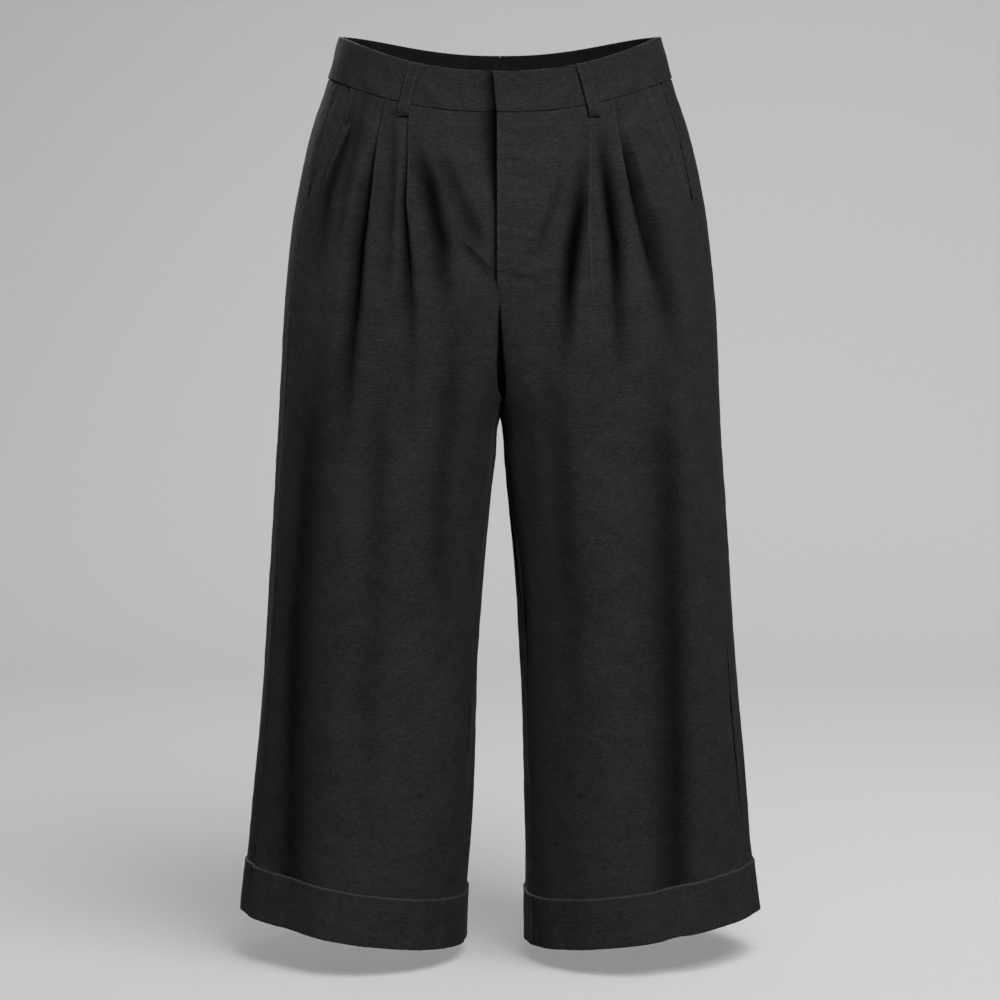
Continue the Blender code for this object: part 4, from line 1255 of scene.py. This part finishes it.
def linen(name, dark, light, tilt=0.0):
    """Melange cloth: wavy slubs across, finer threads down, soft mottling, pale fibre specks, and painted shade and
    painted highlights from the marks.
    """
    n = Nodes(name)
    cloth = n.add("ShaderNodeUVMap", uv_map="cloth").outputs[0]
    wander = n.noise(cloth, (90, 60, 1), 2.0)
    lift = n.add("ShaderNodeCombineXYZ", {1: n.math("MULTIPLY_ADD", wander, 0.0030, -0.0015)}).outputs[0]
    wavy = n.add("ShaderNodeVectorMath", {0: cloth, 1: lift}, operation="ADD").outputs[0]
    slubs = n.noise(wavy, (230, 760, 1), 2.0, 0.55, 1.1)
    long_slubs = n.noise(wavy, (60, 430, 1), 2.0, 0.5, 0.6)
    warp = n.noise(cloth, (1100, 130, 1), 2.0, 0.5)
    mottle = n.noise(cloth, (32, 46, 1), 4.0, 0.6)
    patches = n.noise(cloth, (9, 7, 1), 2.0, 0.5)
    grain = n.noise(cloth, (1900, 1900, 1), 1.0, 0.5)
    specks = n.remap(n.noise(wavy, (330, 900, 1), 2.0, 0.6, 0.8), 0.66, 0.80)
    tone = n.weigh(
        [(slubs, 0.40), (long_slubs, 0.10), (warp, 0.14), (mottle, 0.22), (patches, 0.10), (grain, 0.20)]
    )
    shade = n.remap(tone, 0.42, 0.76)
    colour = n.mix(shade, dark, light)
    pale = tuple(2.4 * value for value in light[:3]) + (1.0,)
    colour = n.mix(n.math("MULTIPLY", specks, 0.55), colour, pale)
    mark = n.add("ShaderNodeAttribute", attribute_name="stitch").outputs["Fac"]
    groove = n.remap(n.math("ABSOLUTE", mark), 0.0002, 0.0011, 1.0, 0.0)
    marked = n.math("GREATER_THAN", n.math("ABSOLUTE", mark), 0.00001)
    groove = n.math("MULTIPLY", groove, marked)
    # Painted shade: the cloth is darkened along the stitch grooves.
    colour = n.mix(n.math("MULTIPLY", groove, 0.35), colour, dark)
    crease = n.add("ShaderNodeAttribute", attribute_name="crease").outputs["Fac"]
    # Painted shade: the cloth is mixed towards SHADED_CLOTH where shade is painted.
    colour = n.mix(crease, colour, SHADED_CLOTH)
    painted_highlight = n.add("ShaderNodeAttribute", attribute_name="painted_highlight").outputs["Fac"]
    # Painted highlight: the cloth is mixed towards the pale speck colour along edges and ridges.
    colour = n.mix(n.math("MULTIPLY", painted_highlight, 0.5), colour, pale)
    height = n.weigh(
        [(slubs, 0.9), (long_slubs, 0.5), (warp, 0.35), (grain, 0.35), (mottle, 0.8), (groove, -2.0)]
    )
    roughness = n.remap(slubs, 0.3, 0.7, 0.96, 0.80)
    return n.finish(
        colour, height, 0.00022, roughness,
        # Painted shade also takes away specular and sheen.
        Specular_IOR_Level=n.math("MULTIPLY_ADD", crease, -0.08, 0.08),
        Sheen_Weight=n.math("MULTIPLY_ADD", crease, -0.02, 0.02),
        Sheen_Roughness=0.45, Sheen_Tint=(0.75, 0.77, 0.82, 1.0),
    )


def thread_material():
    n = Nodes("sewing_thread")
    place = n.add("ShaderNodeNewGeometry").outputs["Position"]
    twist = n.noise(place, (2600, 2600, 2600), 1.0)
    tone = n.noise(place, (120, 120, 120), 2.0)
    colour = n.mix(tone, (0.018, 0.018, 0.0195, 1), (0.036, 0.036, 0.038, 1))
    return n.finish(colour, twist, 0.0001, n.remap(tone, 0.3, 0.7, 0.75, 0.5), Specular_IOR_Level=0.4)


def steel_material():
    n = Nodes("brushed_steel")
    place = n.add("ShaderNodeTexCoord").outputs["Object"]
    brush = n.noise(place, (300, 300, 6000), 2.0)
    wear = n.noise(place, (400, 400, 400), 3.0)
    colour = n.mix(wear, (0.33, 0.33, 0.34, 1), (0.50, 0.50, 0.51, 1))
    return n.finish(colour, brush, 0.00002, n.remap(brush, 0.3, 0.7, 0.26, 0.42), Metallic=1.0)


def stage_material():
    n = Nodes("stage_paper")
    place = n.add("ShaderNodeTexCoord").outputs["Object"]
    tone = n.noise(place, (0.8, 0.8, 0.8), 2.0)
    colour = n.mix(tone, (0.600, 0.600, 0.604, 1), (0.620, 0.620, 0.624, 1))
    fibre = n.noise(place, (240, 240, 240), 2.0)
    return n.finish(colour, fibre, 0.0001, n.remap(fibre, 0.3, 0.7, 0.95, 0.85), Specular_IOR_Level=0.1)


# ---------------------------------------------------------------- stage, light and camera
FLOOR = -0.8120
CAMERA_DISTANCE = 2.7
CAMERA_ELEVATION = math.radians(8)
CAMERA_TARGET = Vector((0.0, 0.0, -0.3930))
LENS = 108.0


def make_stage(material):
    """A seamless sheet: the floor, a wide curve and the wall behind."""
    wall_y, radius, top = 2.6, 1.3, 4.2
    profile = [(-6.0, 0.0), (wall_y - radius, 0.0)]
    for degrees in range(5, 90, 5):
        turn = math.radians(degrees)
        profile.append((wall_y - radius + radius * math.sin(turn), radius - radius * math.cos(turn)))
    profile.extend([(wall_y, radius), (wall_y, top)])
    grid = bmesh.new()
    rows = []
    for y, z in profile:
        rows.append([grid.verts.new((x, y, FLOOR + z)) for x in (-6.0, -2.0, 2.0, 6.0)])
    for before, after in zip(rows, rows[1:]):
        for k in range(3):
            grid.faces.new((before[k], before[k + 1], after[k + 1], after[k]))
    mesh = bpy.data.meshes.new("backdrop")
    grid.to_mesh(mesh)
    grid.free()
    mesh.shade_smooth()
    mesh.materials.append(material)
    stage = bpy.data.objects.new("backdrop", mesh)
    bpy.context.scene.collection.objects.link(stage)
    stage.visible_diffuse = False
    stage.visible_glossy = False
    return stage


# lights is what a lamp falls on. Only the lamp with shadow lets the garment throw one on the stage.
Lamp = namedtuple("Lamp", "name place aim width height power lights")
LAMPS = [
    Lamp("key", (0.70, -3.4, 1.25), (0.0, 0.0, -0.35), 1.5, 1.5, 228, "garment"),
    Lamp("fill", (-2.8, -1.6, 0.3), (0.0, 0.0, -0.4), 2.0, 2.0, 3, "garment"),
    Lamp("behind", (-0.9, 2.2, 1.9), (0.0, 0.0, -0.35), 1.2, 1.2, 170, "garment"),
    Lamp("left_flank", (2.9, 0.9, 0.9), (0.0, 0.0, -0.35), 1.2, 1.2, 30, "garment"),
    Lamp("right_flank", (-2.9, 0.9, 0.9), (0.0, 0.0, -0.35), 1.2, 1.2, 20, "garment"),
    Lamp("overhead", (1.0, -1.2, 2.2), (0.0, -0.2, -0.83), 1.8, 1.8, 58, "stage and shadow"),
    Lamp("wall_wash", (0.5, 0.6, 2.4), (0.1, 2.6, 0.4), 3.4, 1.2, 55, "stage"),
    Lamp("floor_wash", (0.2, -1.5, 2.2), (0.1, -0.7, -0.83), 2.6, 1.8, 34, "stage"),
]
WORLD_COLOUR = (0.94, 0.96, 1.0, 1.0)
WORLD_STRENGTH = 0.50
EVEN_WASH = 0.40


def make_light(garment, stage):
    receivers = {"garment": garment, "stage": bpy.data.collections.new("lit_stage")}
    receivers["stage"].objects.link(stage)
    receivers["stage and shadow"] = receivers["stage"]
    for lamp in LAMPS:
        light = bpy.data.lights.new(lamp.name, "AREA")
        light.shape = "RECTANGLE"
        light.size = lamp.width
        light.size_y = lamp.height
        light.energy = lamp.power
        made = bpy.data.objects.new(lamp.name, light)
        made.location = lamp.place
        made.rotation_euler = (Vector(lamp.aim) - Vector(lamp.place)).to_track_quat("-Z", "Y").to_euler()
        bpy.context.scene.collection.objects.link(made)
        if lamp.lights in receivers:
            made.light_linking.receiver_collection = receivers[lamp.lights]
        if lamp.lights == "stage":
            made.light_linking.blocker_collection = receivers["stage"]
    sky = bpy.data.lights.new("even_wash", "SUN")
    sky.energy = EVEN_WASH
    sky.angle = math.radians(20)
    made = bpy.data.objects.new("even_wash", sky)
    made.rotation_euler = (math.radians(20), 0.0, 0.0)
    bpy.context.scene.collection.objects.link(made)
    made.light_linking.receiver_collection = receivers["stage"]
    made.light_linking.blocker_collection = receivers["stage"]
    world = bpy.data.worlds.new("studio")
    world.use_nodes = True
    background = world.node_tree.nodes["Background"]
    background.inputs["Color"].default_value = WORLD_COLOUR
    background.inputs["Strength"].default_value = WORLD_STRENGTH
    bpy.context.scene.world = world
    world.cycles_visibility.diffuse = False
    world.cycles_visibility.glossy = False
    bpy.context.scene.view_settings.view_transform = "Standard"
    bpy.context.scene.view_settings.look = "None"


def make_camera():
    data = bpy.data.cameras.new("camera")
    data.sensor_width = 36.0
    data.lens = LENS
    camera = bpy.data.objects.new("camera", data)
    back = Vector((0.0, -math.cos(CAMERA_ELEVATION), math.sin(CAMERA_ELEVATION)))
    camera.location = CAMERA_TARGET + back * CAMERA_DISTANCE
    camera.rotation_euler = (-back).to_track_quat("-Z", "Y").to_euler()
    bpy.context.scene.collection.objects.link(camera)
    bpy.context.scene.camera = camera


# ---------------------------------------------------------------- the garment
def main():
    make_camera()
    stage = make_stage(stage_material())
    make_light(GARMENT, stage)

    cloth = linen("charcoal_linen", (0.0052, 0.0052, 0.0056, 1), (0.0232, 0.0230, 0.0243, 1))
    band_cloth = linen("charcoal_linen_band", (0.0053, 0.0053, 0.0057, 1), (0.0215, 0.0213, 0.0226, 1))
    inner = linen("charcoal_inner_cloth", (0.0080, 0.0080, 0.0085, 1), (0.0200, 0.0200, 0.0212, 1))
    tape = linen("charcoal_zip_tape", (0.0070, 0.0070, 0.0075, 1), (0.0160, 0.0160, 0.0170, 1))
    thread = thread_material()
    steel = steel_material()

    for side in SIDES:
        front = Panel(side, "front")
        back = Panel(side, "back")
        front.make(cloth)
        back.make(cloth)
        cuff = make_cuff(side, front, back, cloth)
        pocket = make_pocket_panel(side, cloth)
        runs = []
        slant = [(h, front.slant_x(h, POCKET_STITCH_INSET / 0.93)) for h in np.arange(-0.0190, -0.1230, -0.0010)]
        runs.append(run_on_panel(front, slant))
        if side == "left":
            runs.append(run_on_panel(front, FLY_LINE[:-1]))
        make_stitches(f"stitches_front_{side}", runs, thread)
        band = make_band(side, band_cloth)

    loop_runs = []
    for number, loop in enumerate(LOOPS):
        piece, stitches = make_belt_loop(loop, number + 1, band_cloth, thread)
        loop_runs.extend(stitches)
    make_stitches("stitches_belt_loops", loop_runs, thread)

    facing, shield, zip_tape = make_inner_pieces(inner, tape)
    make_zip_teeth(steel)
    for node in ("zip_slider", "waist_hook", "waist_bar"):
        GARMENT.objects.link(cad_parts[node])
        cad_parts[node].data.materials.clear()
        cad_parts[node].data.materials.append(steel)


main()
